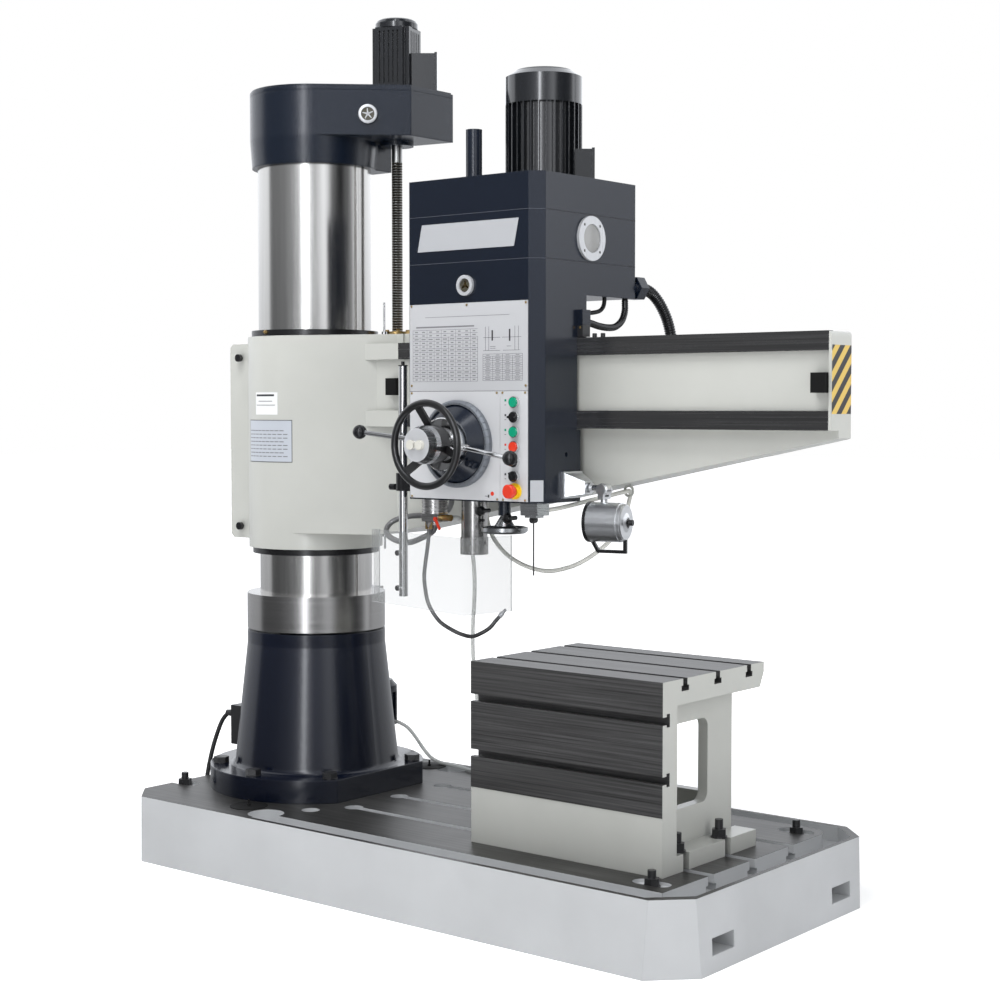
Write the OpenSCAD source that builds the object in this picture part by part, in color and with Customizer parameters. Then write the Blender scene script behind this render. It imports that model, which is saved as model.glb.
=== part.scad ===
// Radial arm drill. A column turns on a pedestal, an arm climbs the column on a
// screw, and a drilling head travels along the arm over a slotted base and a box table.
// X runs along the arm, the operator stands on the -Y side and Z is up.
// The origin is on the column's axis, on the floor.

/* [Base] */
// Length from the column axis to the free end
base_reach = 1690; // [1640:10:1900]
// Length behind the column axis
base_tail = 345; // [342:1:420]
// Width of the base at its top
base_w = 993; // [960:1:1200]
// Height of the base
base_h = 197; // [160:1:240]
// How far each side leans out at the floor
base_draft = 10; // [0:1:20]
// Size of the cut corners
base_corner = 98; // [60:1:130]
// Width of the rim round the coolant gutter
rim_w = 14; // [8:1:20]
// Width of the gutter along the sides
gutter_w = 62; // [40:1:80]
// Width of the gutter across the free end
end_gutter_w = 79; // [50:1:90]
// Depth of the gutter
gutter_d = 45; // [45:1:60]
// Distance between the tee slots
slot_pitch = 200; // [170:1:220]
// Width of a tee slot's neck
slot_neck = 28; // [18:1:34]
// Width of a tee slot's foot
slot_foot = 48; // [44:1:60]
// Height of a tee slot's foot
slot_foot_h = 20; // [12:1:22]
// Where the tee slots begin, from the column axis
slot_start = 350; // [345:1:400]
// Diameter of the round recess at a slot's start
slot_start_d = 56; // [50:1:70]
// Width of the lifting pockets in the end face
pocket_w = 101; // [60:1:120]
// Height of the lifting pockets
pocket_h = 43; // [36:1:90]
// Depth of the lifting pockets
pocket_d = 60; // [30:1:90]
// Diameter of a foundation stud
stud_d = 22; // [16:1:26]

/* [Box table] */
// Distance from the column axis to the table
table_x = 895; // [860:1:930]
// Length of the table
table_l = 627; // [560:1:660]
// Depth of the table top
table_w = 489; // [470:1:520]
// Height of the table
table_h = 497; // [440:1:540]
// How far the table's front lies in front of the column axis
table_front = 311; // [300:1:330]
// Thickness of the top and the front
table_wall = 66; // [60:1:80]
// Thickness of the side and rear walls
table_web = 30; // [20:1:36]
// Width of the feet beside the walls
table_foot = 67; // [60:1:76]
// Thickness of the feet
table_foot_h = 45; // [34:1:50]
// Distance between the table's top slots
table_pitch = 155; // [130:1:160]
// Neck width of the table's slots
table_neck = 20; // [16:1:24]
// Foot width of the table's slots
table_slot_foot = 34; // [30:1:40]
// Depth of the table's slots
table_slot_d = 32; // [28:1:36]

/* [Column] */
// Diameter of the turning outer column
column_d = 350; // [320:1:360]
// Wall of the outer column
column_wall = 37; // [25:1:45]
// Outer column's upper end above the floor
column_top = 2290; // [2250:1:2310]
// Diameter of the fixed inner column
inner_d = 220; // [180:1:230]
// Wall of the inner column
inner_wall = 32; // [20:1:40]
// Radius of the pedestal's flange
flange_r = 335; // [325:1:338]
// Thickness of the flange
flange_h = 70; // [50:1:80]
// Distance from the column axis to the flange's flat side
flange_flat = 275; // [270:1:285]
// Radius of the pedestal at its foot
cone_foot_r = 256; // [240:1:262]
// Radius of the pedestal at its head
cone_head_r = 216; // [205:1:225]
// Height of the pedestal above its flange
cone_h = 422; // [400:1:445]
// Height of the clamp ring
ring_h = 110; // [80:1:125]
// Running gap under the clamp ring
ring_gap = 6; // [2:1:10]
// Width of the column's keyway
key_w = 12; // [8:1:20]
// Depth of the column's keyway
key_d = 6; // [4:1:8]

/* [Cap] */
// Underside of the cap's skirt above the floor
cap_z = 2120; // [2105:1:2130]
// Radius of the cap
cap_r = 198; // [195:1:215]
// Radius of the cap's skirt at its foot
skirt_r = 192; // [184:1:194]
// Height of the skirt
skirt_h = 83; // [70:1:104]
// Height of the cap housing above the skirt
cap_h = 134; // [110:1:140]
// Thickness of the cap's cover plate
cap_cover_h = 18; // [10:1:24]
// Distance from the column axis to the cap's end face
cap_reach = 351; // [340:1:370]
// Near corner of the end face, across the arm
cap_near = 60; // [40:1:80]
// Far corner of the end face, across the arm
cap_far = 255; // [240:1:270]

/* [Arm lift] */
// Lift screw's place along the arm
screw_x = 210; // [205:1:222]
// Lift screw's place across the arm
screw_y = 152; // [146:1:160]
// Diameter of the lift screw
screw_d = 33; // [28:1:38]
// Lower end of the screw above the floor
screw_foot = 1440; // [1400:1:1460]
// Width of the lift motor's square body
lift_motor_w = 123; // [110:1:130]
// Height of the lift motor
lift_motor_h = 222; // [200:1:240]

/* [Arm] */
// Lower end of the sleeve above the floor, as set in the photograph
arm_z = 949; // [940:1:970]
// Height of the sleeve
sleeve_h = 651; // [640:1:660]
// Radius of the sleeve
sleeve_r = 209; // [205:0.5:213]
// Distance from the column axis to the arm's end
arm_reach = 1871; // [1840:1:1980]
// Distance from the column axis to the face of the guideways
way_face = 98.7; // [90:0.1:104]
// Depth of the block that carries the guideways
way_depth = 38.7; // [32:0.1:46]
// Height of one guideway
way_h = 48; // [40:1:52]
// Distance between the two guideways
way_pitch = 198.5; // [180:0.5:202]
// Lower guideway above the sleeve's lower end
way_z = 376; // [368:1:382]
// Start of the guideways along the arm
way_start = 440; // [400:1:450]
// End of the guideways before the arm's end
way_short = 8; // [8:1:30]
// Depth of the channel between the guideways
channel_d = 14; // [8:1:20]
// Thickness of the arm at its free end
arm_tip_w = 116; // [100:1:130]
// Half of the arm's thickness at the sleeve
arm_root_y = 150; // [140:1:160]
// Height of the arm's underside at the sleeve, above the sleeve's lower end
arm_root_z = 51; // [42:1:76]
// Height of the arm's underside at the tip, above the sleeve's lower end
arm_tip_z = 356; // [340:1:364]
// Height of a wiper ring
wiper_h = 19; // [12:1:21]
// Radius of a wiper ring
wiper_r = 197; // [185:1:204]

/* [Cabinet] */
// How far the cabinet stands out from the column axis
cabinet_x = 302; // [280:1:330]
// Front of the cabinet, in front of the column axis
cabinet_front = 80; // [60:1:110]
// Back of the cabinet, behind the column axis
cabinet_back = 190; // [150:1:200]
// Gap left under and over the cabinet on the sleeve
cabinet_inset = 17; // [4:1:30]

/* [Head] */
// Left side of the head from the column axis
head_x = 640; // [630:1:660]
// Width of the head
head_w = 455; // [440:1:470]
// Front of the head from the column axis
head_front = 272; // [262:1:280]
// How far the head's upper box reaches behind the column axis
head_back = 175; // [160:1:190]
// Size of the head's cut corner
head_corner = 32; // [20:1:40]
// How far the head hangs below the lower guideway
head_drop = 199; // [190:1:205]
// Height of the lower plates
lower_plate_h = 300; // [290:1:302]
// Height of the speed plate
speed_plate_h = 240; // [220:1:241]
// Thickness of the front plates
plate_t = 2; // [1:0.5:4]
// Height of the head housing
housing_h = 652; // [640:1:670]
// Height of the gearbox section
gearbox_h = 130; // [110:1:150]
// Height of the head's top cover
cover_h = 100; // [80:1:120]
// Height of the box that reaches back over the arm
overhang_h = 90; // [60:1:100]
// Diameter of the tube over the spindle
tube_d = 45; // [40:1:50]
// Height of the tube over the spindle
tube_h = 140; // [120:1:160]
// Radius of the main motor
motor_r = 108.5; // [95:0.5:112]
// Height of the main motor
motor_h = 322; // [300:1:350]
// Main motor's place from the head's left side
motor_x = 239; // [225:1:260]
// Main motor's place behind the column axis
motor_y = 32; // [20:1:45]

/* [Spindle] */
// Spindle axis from the head's left side
spindle_in = 163; // [158:1:168]
// Spindle axis in front of the column axis
spindle_out = 185; // [180:1:190]
// Diameter of the quill
quill_d = 74; // [70:1:76]
// Length of the quill
quill_l = 539; // [520:1:550]
// How far the quill shows below the head
quill_show = 105; // [90:1:110]
// Diameter of the spindle nose
nose_d = 78.5; // [77:0.5:82]
// Height of the spindle nose
nose_h = 47.5; // [40:0.5:52]
// Diameter of the spindle inside the quill
shaft_d = 50; // [44:1:54]
// Diameter of the splined end
spline_d = 30; // [26:1:34]
// Length of the splined end
spline_l = 540; // [500:1:545]
// Diameter at the mouth of the taper socket
taper_d = 31.3; // [31.3:0.1:31.3]
// Depth of the taper socket
taper_l = 118; // [100:1:120]

/* [Feed hub] */
// Feed axis from the head's left side
feed_in = 180; // [175:1:185]
// Feed axis above the head's underside
feed_up = 156; // [150:1:160]
// Radius of the graduated dial ring
dial_r = 120; // [112:1:122]
// Height of the dial ring
dial_h = 18; // [12:1:22]
// Radius of the turning cone at its foot
disc_r = 107; // [98:1:110]
// Radius of the lever hub
hub_r = 73; // [66:1:76]
// Distance from the hub axis to a lever ball
lever_l = 270; // [255:1:280]
// Lean of the levers at rest
lever_lean = 6.8; // [0:0.1:15]
// Diameter of a lever
lever_d = 14; // [11:1:16]
// Diameter of a lever ball
ball_d = 40; // [34:1:44]
// Radius of the handwheel
wheel_r = 122; // [115:1:128]
// Thickness of the handwheel's rim
rim_d = 20; // [16:1:22]
// Radius of the fixed barrel
barrel_r = 52; // [50:0.5:56]
// Diameter of the fixed shaft inside the hub
hub_shaft_d = 36; // [30:1:40]
// Diameter of a barrel button
barrel_button_d = 26; // [20:1:27]

/* [Operator panel] */
// Axis of the buttons from the head's left side
panel_in = 380; // [376:1:384]
// Width of the button plate
button_plate_w = 95; // [90:1:100]
// Distance between the buttons
button_pitch = 39.7; // [38:0.1:41]
// Lowest button above the head's underside
button_first = 32; // [29:1:34]
// Diameter of a bezel
bezel_d = 31; // [30:1:34]
// Height of a bezel
bezel_h = 10; // [6:1:12]
// Diameter of a button
button_d = 26; // [22:0.5:27]
// Diameter of the stop button
stop_d = 38; // [36:1:42]

/* [Under the head] */
// Radius of the fine feed wheel
fine_wheel_r = 63.5; // [56:0.5:66]
// Fine feed wheel's place from the head's left side
fine_wheel_in = 308; // [304:1:312]
// Drop of the fine feed wheel below the head
fine_wheel_drop = 68; // [66:1:76]
// Radius of the coolant manifold
manifold_r = 37; // [32:1:40]
// Height of the coolant manifold
manifold_h = 41; // [34:1:44]
// Radius of the boss over the fine feed wheel
boss_r = 17; // [15:0.5:24]
// Height of that boss
boss_h = 38; // [30:1:42]
// Diameter of the trip rod
trip_d = 4; // [4:0.5:7]
// Length of the trip rod
trip_l = 150; // [130:1:170]

/* [Lamp] */
// Radius of the lamp
lamp_r = 53; // [48:1:56]
// Length of the lamp
lamp_l = 108; // [100:1:114]
// How far the lamp's pivot stands out from the head
lamp_out = 107; // [102:1:112]
// Drop of the lamp's axis below its pivot
lamp_drop = 87; // [84:1:94]
// Radius of the lamp's knuckle
knuckle_r = 17; // [14:1:19]

/* [Splash guard] */
// Post's place left of the head
post_gap = 54; // [46:1:60]
// Post's place in front of the column axis
post_y = 240; // [234:1:246]
// Diameter of the post
post_d = 25; // [20:1:26]
// Length of the post
post_l = 654; // [600:1:680]
// Height of the clear sheet
sheet_h = 210; // [180:1:215]
// Thickness of the clear sheet
sheet_t = 4; // [3:0.5:6]

/* [Cords] */
// Diameter of the power cable
cable_d = 14; // [12:0.5:14]
// Turns in each layer of the power cable's coil
coil_turns = 2; // [1:1:3]
// Diameter of the clear coolant hose
clear_hose_d = 12; // [9:0.5:13]
// Diameter of the nozzle hose
nozzle_hose_d = 12; // [9:0.5:13]
// Diameter of the manifold's feed hose
feed_hose_d = 17; // [12:0.5:18]
// Diameter of the ribbed conduit behind the head
conduit_d = 34; // [28:1:36]
// Diameter of the ribbed hose over the arm
loop_d = 20; // [16:1:22]

/* [Fits] */
// Radial clearance of a running fit
fit = 0.05; // [0.03:0.01:0.09]
// Gap between parts that only pass each other
pass_gap = 0.3; // [0.2:0.1:0.6]

/* [Hidden] */
$fn = 64;

paint_dark = "#1f2733";
paint_pale = "#d4d6cf";
steel = "#b9bcc0";
black = "#17181a";
chrome = "#dfe2e6";
brass = "#b08b3e";

// Base
base_half = base_w / 2;
island_end = base_reach - rim_w - end_gutter_w;
island_half = base_half - rim_w - gutter_w;
island_round = 60;
sump_x = 206;
sump_r = 53.5;
pocket_y = 300;
pocket_z = 65;
foot_bolts = [
    [-base_tail + 32, 276], [-base_tail + 32, -276],
    [island_end - 74, 358], [island_end - 74, -358]
];
stud_room = 2;
nut_across = 36;
nut_h = 19;
washer_r = 22;
washer_h = 4;

// Box table
table_y = -table_front;
table_top = base_h + table_h;
table_end = table_x + table_l;
table_back_wall = table_y + 435;
table_under = table_top - table_wall;
table_left_web = table_x + table_foot;
table_right_web = table_end - table_foot;
machined_proud = 1.5;
machined_h = 344;
front_slot_z = [base_h + 247, base_h + 398];
tee_bolt_in = 28;

// Column
column_r = column_d / 2;
column_bore_r = column_r - column_wall;
inner_r = inner_d / 2;
cone_z = base_h + flange_h;
ring_z = cone_z + cone_h + ring_gap;
ring_top = ring_z + ring_h;
ring_r = cone_head_r;
pedestal_bolt_r = (cone_foot_r + flange_r) / 2 + 5;
pedestal_bolt_step = 47.3;
bearing_h = 40;

// Cap and lift screw
cap_wing_z = cap_z + skirt_h;
cap_cover_z = cap_wing_z + cap_h;
cap_top = cap_cover_z + cap_cover_h;
screw = [screw_x, screw_y];
screw_r = screw_d / 2;
screw_flange_h = 12;

// Arm
arm_top = arm_z + sleeve_h;
lower_way_z = arm_z + way_z;
upper_way_z = lower_way_z + way_pitch;
way_top = upper_way_z + way_h;
way_end = arm_reach - way_short;
way_back = way_face - way_depth;
way_t = 20;
root_x = 250;
root_meet = [400, -way_back];
root_clear = way_start - 15;
arm_tip_back = arm_tip_w - way_face;
function arm_back(x) = arm_root_y + (x - root_x) / (arm_reach - root_x) * (arm_tip_back - arm_root_y);
arm_slope = (arm_tip_z - arm_root_z) / (arm_reach - root_x - 90);
function arm_under(x) = arm_z + arm_root_z + arm_slope * max(0, x - root_x - 90);
nut_flange_r = 40;
nut_flange_h = 18;
nut_barrel_r = 30;
nut_barrel_l = 70;
screw_boss_r = 52;
screw_boss_h = 260;
rod = [285, 10];
rod_r = 3.25;
rod_up = 101;
rod_down = 49;
eye_x = 1185;
eye_r = 14;
hose_eye = [eye_x, 20, arm_under(eye_x) - eye_r - 1.3];

// Head
head_end = head_x + head_w;
head_z = lower_way_z - head_drop;
gearbox_z = head_z + housing_h;
cover_z = gearbox_z + gearbox_h;
head_top = cover_z + cover_h;
overhang_z = gearbox_z - overhang_h;
head_rear = way_face + pass_gap;
head_low_rear = way_face - 16;
lip_y = 56;
front = -head_front;
plate_front = front - plate_t;
plate_split = head_x + head_w - head_corner - button_plate_w;

// Spindle and feed
spindle_x = head_x + spindle_in;
spindle_y = -spindle_out;
quill_r = quill_d / 2;
quill_z = head_z - quill_show;
quill_top = quill_z + quill_l;
nose_gap = 0.5;
nose_z = quill_z - nose_gap - nose_h;
shaft_r = shaft_d / 2;
spline_r = spline_d / 2;
feed_x = head_x + feed_in;
feed_z = head_z + feed_up;
hub_shaft_r = hub_shaft_d / 2;
cone_front = plate_front - 49;
hub_front = cone_front - 23;
neck_front = hub_front - 19;
neck_r = 46;
lever_tilt = 13;
wheel_back = neck_front - 2;
wheel_front = wheel_back - 36;
rim_out = 43;
barrel_back = wheel_front - pass_gap;
barrel_front = barrel_back - 44;
barrel_button_gap = 31;
barrel_button_out = 10;

// Operator panel
panel_x = head_x + panel_in;
button_rows = [for (k = [0:6]) head_z + button_first + k * button_pitch];
button_out = 14;
stop_collar_r = 22;
knob_out = 22;

// Under the head
fine_x = head_x + fine_wheel_in;
under_y = -230;
fine_z = head_z - fine_wheel_drop;
manifold_x = head_x + 56;
manifold_z = head_z - manifold_h;
valve_h = 23;
valve_z = manifold_z - valve_h;
valve_w = 60;
valve_y = 44;
tee_x = manifold_x + 48;
tee_z = valve_z + 12;
outlet_x = manifold_x - 22;
outlet_l = 22;
trip_x = head_x + 408;
trip_box_h = 46;
trip_z = head_z - trip_box_h;
lever_x = manifold_x + 24;

// Lamp
lamp_y = -120;
lamp_z = head_z + 36;
lamp_x = head_end + lamp_out;
lamp_axis_z = lamp_z - lamp_drop;
lamp_eye_w = 18;
lamp_turn = 13;
lamp_behind = 43;

// Splash guard
post_x = head_x - post_gap;
post_r = post_d / 2;
post_z = head_z - 281;
sheet_z = head_z - 306;
sheet_plan = [
    [head_x - 182, 36 - post_y], [head_x - 190, 14 - post_y],
    [head_x + 259, -105 - post_y], [head_x + 287, 68 - post_y]
];

// Coolant pump
pump = [-110, base_half - 91.5];
pump_tap = [pump[0] + 63, pump[1], base_h + 133];

// Cord routes, in whole millimetres
cable_route = [
    [-293, -85, 395], [-306, -85, 395], [-320, -87, 391], [-338, -94, 368], [-350, -106, 325],
    [-359, -120, 270], [-366, -132, 205], [-372, -138, 140], [-379, -134, 80], [-388, -116, 34],
    [-398, -80, 11], [-405, -30, 7], [-410, 50, 7], [-411, 140, 7], [-406, 235, 7],
    [-392, 330, 7], [-364, 420, 7], [-318, 500, 7], [-256, 562, 7], [-190, 594, 7],
    [-140, 603, 7], [-118, 603, 7], [-100, 603, 7]
];
hose_route = [
    pump_tap, pump_tap + [13, 0, 0], pump_tap + [33, 1, -2], pump_tap + [65, 5, -16],
    pump_tap + [91, 13, -44], pump_tap + [113, 25, -80], [92, 440, 220], [130, 444, 206], [190, 438, 204], [260, 422, 204],
    [335, 390, 204], [410, 345, 204], [478, 284, 208], [534, 218, 228], [574, 152, 274],
    [600, 104, 350], [610, 70, 450], [614, 48, 560], [625, 22, 660], [650, -8, 745],
    [680, -38, 817], [708, -70, 890], [730, -104, 960], [743, -136, 1020], [746, -168, 1060],
    [746, -190, 1072], [746, -205, 1074], [746, -218, 1074]
];
conduit_route = [
    [1075, 225, 1720], [1075, 242, 1720], [1076, 262, 1718], [1082, 288, 1704],
    [1094, 310, 1672], [1108, 324, 1625], [1118, 330, 1565], [1122, 332, 1500],
    [1117, 330, 1430], [1100, 324, 1365], [1066, 314, 1308], [1018, 300, 1268],
    [962, 284, 1248], [908, 268, 1244], [862, 250, 1252], [828, 230, 1270],
    [808, 206, 1290], [801, 184, 1300], [800, 166, 1302], [800, 150, 1302]
];
loop_route = [
    [1078, 150, 1688], [1078, 150, 1676], [1080, 146, 1652], [1083, 128, 1626],
    [1084, 96, 1608], [1083, 60, 1604], [1081, 20, 1607], [1080, -14, 1613],
    [1080, -42, 1616], [1080, -56, 1616]
];
thin_route = [
    [1050, 90, 1688], [1050, 90, 1680], [1050, 84, 1664], [1051, 66, 1652], [1052, 36, 1646],
    [1052, 0, 1643], [1052, -44, 1642], [1052, -56, 1642]
];
nozzle_route = [
    [674, -230, 1040], [674, -230, 1030], [672, -230, 1012], [668, -230, 985], [660, -229, 945], [654, -228, 905],
    [656, -226, 870], [664, -225, 835], [682, -225, 806], [712, -226, 779], [755, -232, 763],
    [800, -240, 753], [837, -238, 749], [860, -226, 758], [877, -208, 773], [888, -195, 792],
    [902, -188, 810]
];
feed_hose_route = [
    [674, -206, 1050], [674, -206, 1041], [670, -207, 1033], [658, -209, 1024],
    [640, -209, 1016], [613, -206, 1006], [585, -199, 998], [557, -190, 994], [529, -181, 993],
    [500, -174, 996], [474, -166, 1001], [450, -156, 1008], [431, -143, 1019], [425, -128, 1034],
    [438, -112, 1050], [480, -98, 1062], [524, -91, 1066], [568, -88, 1068],
    [606, -92, 1074], [636, -102, 1088], [652, -108, 1106], [656, -110, 1120], [656, -110, 1126]
];
guide_route = [
    [1068, -200, 1106], [1068, -188, 1106], [1070, -168, 1107], [1078, -138, 1111],
    [1094, -108, 1118], [1118, -82, 1127], hose_eye + [-41, -58 - hose_eye[1], -17],
    hose_eye + [-19, -56, -10], hose_eye + [-6, -32, -4], hose_eye + [0, -12, -1], hose_eye,
    hose_eye + [-5, 14, -3], hose_eye + [-12, 25, -12], hose_eye + [-21, 32, -28],
    hose_eye + [-29, 34, -50], hose_eye + [-37, 30, -77], hose_eye + [-46, 20, -105],
    [1127, 22, 1019], [1106, -12, 986], [1078, -50, 957], [1035, -66, 938], [985, -80, 928], [935, -92, 934], [890, -103, 951],
    [850, -113, 978], [818, -121, 1018], [802, -125, 1062], [798, -126, 1098], [798, -126, 1114],
    [798, -126, 1126]
];
conduit_end = conduit_route[len(conduit_route) - 1];
coil_centre = [-100, 700];
coil_pitch = cable_d + 2.5;
coil_layer = cable_d + 1;
coil_out_r = 97;
coil_steps = 24;
tail = [[-120, 0], [-138, 3], [-154, 9], [-168, 18], [-180, 28]];
plug_r = 21;
plug_l = 84;

// Common shapes
module block(x0, x1, y0, y1, z0, z1) {
    translate([x0, y0, z0]) cube([x1 - x0, y1 - y0, z1 - z0]);
}
module rod_x(r, x0, x1) { translate([x0, 0, 0]) rotate([0, 90, 0]) cylinder(r = r, h = x1 - x0); }
module rod_y(r, y0, y1) { translate([0, y1, 0]) rotate([90, 0, 0]) cylinder(r = r, h = y1 - y0); }
module ring(r_out, r_in, h) {
    difference() {
        cylinder(r = r_out, h = h);
        translate([0, 0, -1]) cylinder(r = r_in, h = h + 2);
    }
}
module hexagon(across, h) { cylinder(r = across / sqrt(3), h = h, $fn = 6); }
module tee(l, neck, foot, foot_h, depth) {
    translate([0, -neck / 2, -depth]) cube([l, neck, depth + 1]);
    translate([0, -foot / 2, -depth]) cube([l, foot, foot_h]);
}
// A hexagon nut on a washer with a stud through both
module nut_on_stud(stud_r, up, down) {
    cylinder(r = washer_r, h = washer_h);
    translate([0, 0, washer_h]) hexagon(nut_across, nut_h);
    translate([0, 0, -down]) cylinder(r = stud_r, h = down + up);
}

// A smooth line through the points with straight ends, a sweep frame along it and a skin over its rings
function unit(v) = v / norm(v);
function spline_at(a, b, c, d, t) =
    0.5 * (2 * b + (c - a) * t + (2 * a - 5 * b + 4 * c - d) * t * t
    + (3 * b - a - 3 * c + d) * t * t * t);
function smooth(p, steps) = concat(
    [for (i = [0:len(p) - 2], s = [0:steps - 1])
        spline_at(i == len(p) - 2 ? 2 * p[i] - p[i + 1] : p[max(i - 1, 0)], p[i], p[i + 1],
            i == 0 ? 2 * p[1] - p[0] : p[min(i + 2, len(p) - 1)], s / steps)],
    [p[len(p) - 1]]
);
function tangent(p, i) = unit(p[min(i + 1, len(p) - 1)] - p[max(i - 1, 0)]);
function square_to(n, t) = unit(n - (n * t) * t);
function side_of(t) = abs(t[2]) < 0.9 ? [0, 0, 1] : [1, 0, 0];
function frames(p) = [
    for (i = 0, n = square_to(side_of(tangent(p, 0)), tangent(p, 0)); i < len(p);
        i = i + 1, n = i < len(p) ? square_to(n, tangent(p, i)) : n)
        [p[i], n, cross(tangent(p, i), n)]
];
function ring_points(f, r, sides) = [
    for (k = [0:sides - 1])
        f[0] + r * (cos(360 * k / sides) * f[1] + sin(360 * k / sides) * f[2])
];
// Rings joined end to end, closed by flat ends
module skin(rings) {
    n = len(rings[0]);
    m = len(rings);
    polyhedron(
        points = [for (r = rings) each r],
        faces = concat(
            [for (i = [0:m - 2], k = [0:n - 1]) each [
                [i * n + k, i * n + (k + 1) % n, (i + 1) * n + k],
                [i * n + (k + 1) % n, (i + 1) * n + (k + 1) % n, (i + 1) * n + k]
            ]],
            [[for (k = [n - 1:-1:0]) k]],
            [[for (k = [0:n - 1]) (m - 1) * n + k]]
        ),
        convexity = 8
    );
}
// Rings joined in a loop, out along the outside and back along the bore
module looped_skin(rings) {
    n = len(rings[0]);
    m = len(rings);
    polyhedron(
        points = [for (r = rings) each r],
        faces = [for (i = [0:m - 1], k = [0:n - 1]) each [
            [i * n + k, i * n + (k + 1) % n, ((i + 1) % m) * n + k],
            [i * n + (k + 1) % n, ((i + 1) % m) * n + (k + 1) % n, ((i + 1) % m) * n + k]
        ]],
        convexity = 8
    );
}
module cord(p, d, steps, sides = 8) {
    line = smooth(p, steps);
    skin([for (f = frames(line)) ring_points(f, d / 2, sides)]);
}
// A ribbed hose: the outside swells at every second ring, the bore stays even
module ribbed_cord(p, d, steps, root = 0.86, bore = 0.7, sides = 8) {
    line = smooth(p, steps);
    f = frames(line);
    last = len(f) - 1;
    plain = 2;
    outside = [for (i = [0:last])
        ring_points(f[i], d / 2 * (i % 2 == 0 && i >= plain && i <= last - plain ? 1 : root), sides)];
    inside = [for (i = [last:-1:0]) ring_points(f[i], d / 2 * bore, sides)];
    looped_skin(concat(outside, inside));
}

// Base
module base_outline(inset = 0) {
    x0 = -base_tail + inset;
    x1 = base_reach - inset;
    y1 = base_half - inset;
    c = base_corner - inset * (2 - sqrt(2));
    polygon([
        [x0 + c, -y1], [x1 - c, -y1], [x1, c - y1], [x1, y1 - c],
        [x1 - c, y1], [x0 + c, y1], [x0, y1 - c], [x0, c - y1]
    ]);
}
module base_body() {
    lean = base_draft;
    intersection() {
        rotate([90, 0, 0]) translate([0, 0, -base_w]) linear_extrude(2 * base_w) polygon([
            [-base_tail - lean, 0], [base_reach + lean, 0], [base_reach, base_h], [-base_tail, base_h]
        ]);
        rotate([90, 0, 90]) translate([0, 0, -base_tail - 99]) linear_extrude(base_reach + base_tail + 200)
            polygon([
                [-base_half - lean, 0], [base_half + lean, 0], [base_half, base_h], [-base_half, base_h]
            ]);
        linear_extrude(base_h) base_outline(-lean);
    }
}
module island() {
    translate([-base_tail, -island_half])
        square([island_end + base_tail - island_round, 2 * island_half]);
    translate([-base_tail, -island_half])
        square([island_end + base_tail, 2 * island_half - island_round]);
    translate([island_end - island_round, island_half - island_round]) circle(r = island_round);
}
module gutter() {
    translate([0, 0, base_h - gutter_d]) linear_extrude(gutter_d + 1) difference() {
        intersection() {
            base_outline(rim_w);
            translate([sump_x, -base_w]) square([base_reach, 2 * base_w]);
        }
        island();
    }
    for (s = [-1, 1]) translate([sump_x, s * (base_half - rim_w - sump_r - 8), base_h - gutter_d])
        cylinder(r = sump_r, h = gutter_d + 1);
}
module base_plate() {
    color(paint_pale) difference() {
        base_body();
        gutter();
        for (k = [-1:1]) {
            translate([slot_start, k * slot_pitch, base_h])
                tee(island_end - slot_start + 1, slot_neck, slot_foot, slot_foot_h, gutter_d);
            translate([slot_start, k * slot_pitch, base_h - gutter_d])
                cylinder(d = slot_start_d, h = gutter_d + 1);
        }
        for (s = [-1, 1]) block(base_reach - pocket_d, base_reach + base_draft + 1,
            s * pocket_y - pocket_w / 2, s * pocket_y + pocket_w / 2, pocket_z - pocket_h / 2,
            pocket_z + pocket_h / 2);
        for (p = foot_bolts) translate([p[0], p[1], 0]) {
            translate([0, 0, 40]) cylinder(d = stud_d + stud_room, h = base_h);
            translate([-28, 0, base_h - 10]) cylinder(r = 26, h = 11);
            translate([28, 0, base_h - 10]) cylinder(r = 26, h = 11);
            block(-28, 28, -26, 26, base_h - 10, base_h + 1);
        }
        translate([275, -306, base_h - 30]) cylinder(r = 27, h = 31);
    }
}
module base_bolts() {
    color(black) {
        for (p = foot_bolts) translate([p[0], p[1], base_h - 10])
            nut_on_stud(stud_d / 2, nut_h + 24, base_h - 52);
        for (k = [-3:3]) rotate([0, 0, 180 + k * pedestal_bolt_step])
            translate([pedestal_bolt_r, 0, cone_z]) {
                cylinder(r = 24, h = 3);
                translate([0, 0, 3]) hexagon(41, 16);
            }
    }
}

// Box table
module box_table() {
    color(paint_pale) difference() {
        union() {
            block(table_x, table_end, table_y + machined_proud, table_y + table_wall, base_h, table_top);
            block(table_x, table_end, table_y, table_y + table_wall, table_top - machined_h, table_top);
            table_slab();
            block(table_left_web, table_right_web, table_y + table_wall, table_back_wall, base_h, table_under);
            for (x = [table_x, table_right_web])
                block(x, x + table_foot, table_y + table_wall, table_back_wall + 18, base_h,
                    base_h + table_foot_h);
        }
        block(table_left_web + table_web, table_right_web - table_web, table_y + table_wall,
            table_back_wall - table_web, base_h + table_foot_h, table_under);
        for (x = [table_left_web - 1, table_right_web - table_web - 1]) table_window(x);
        rear_window();
        for (k = [-1:1]) translate([table_x - 1, -54 + k * table_pitch, table_top])
            tee(table_l + 2, table_neck, table_slot_foot, 14, table_slot_d);
        for (z = front_slot_z) translate([table_x - 1, table_y, z]) rotate([90, 0, 0])
            tee(table_l + 2, table_neck, table_slot_foot, 14, table_slot_d);
        for (x = [table_x - 1, table_end - tee_bolt_in - 22], y = [-slot_pitch, 0])
            block(x, x + tee_bolt_in + 23, y - slot_neck / 2, y + slot_neck / 2, base_h - 1,
                base_h + table_foot_h + 1);
    }
}
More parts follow.
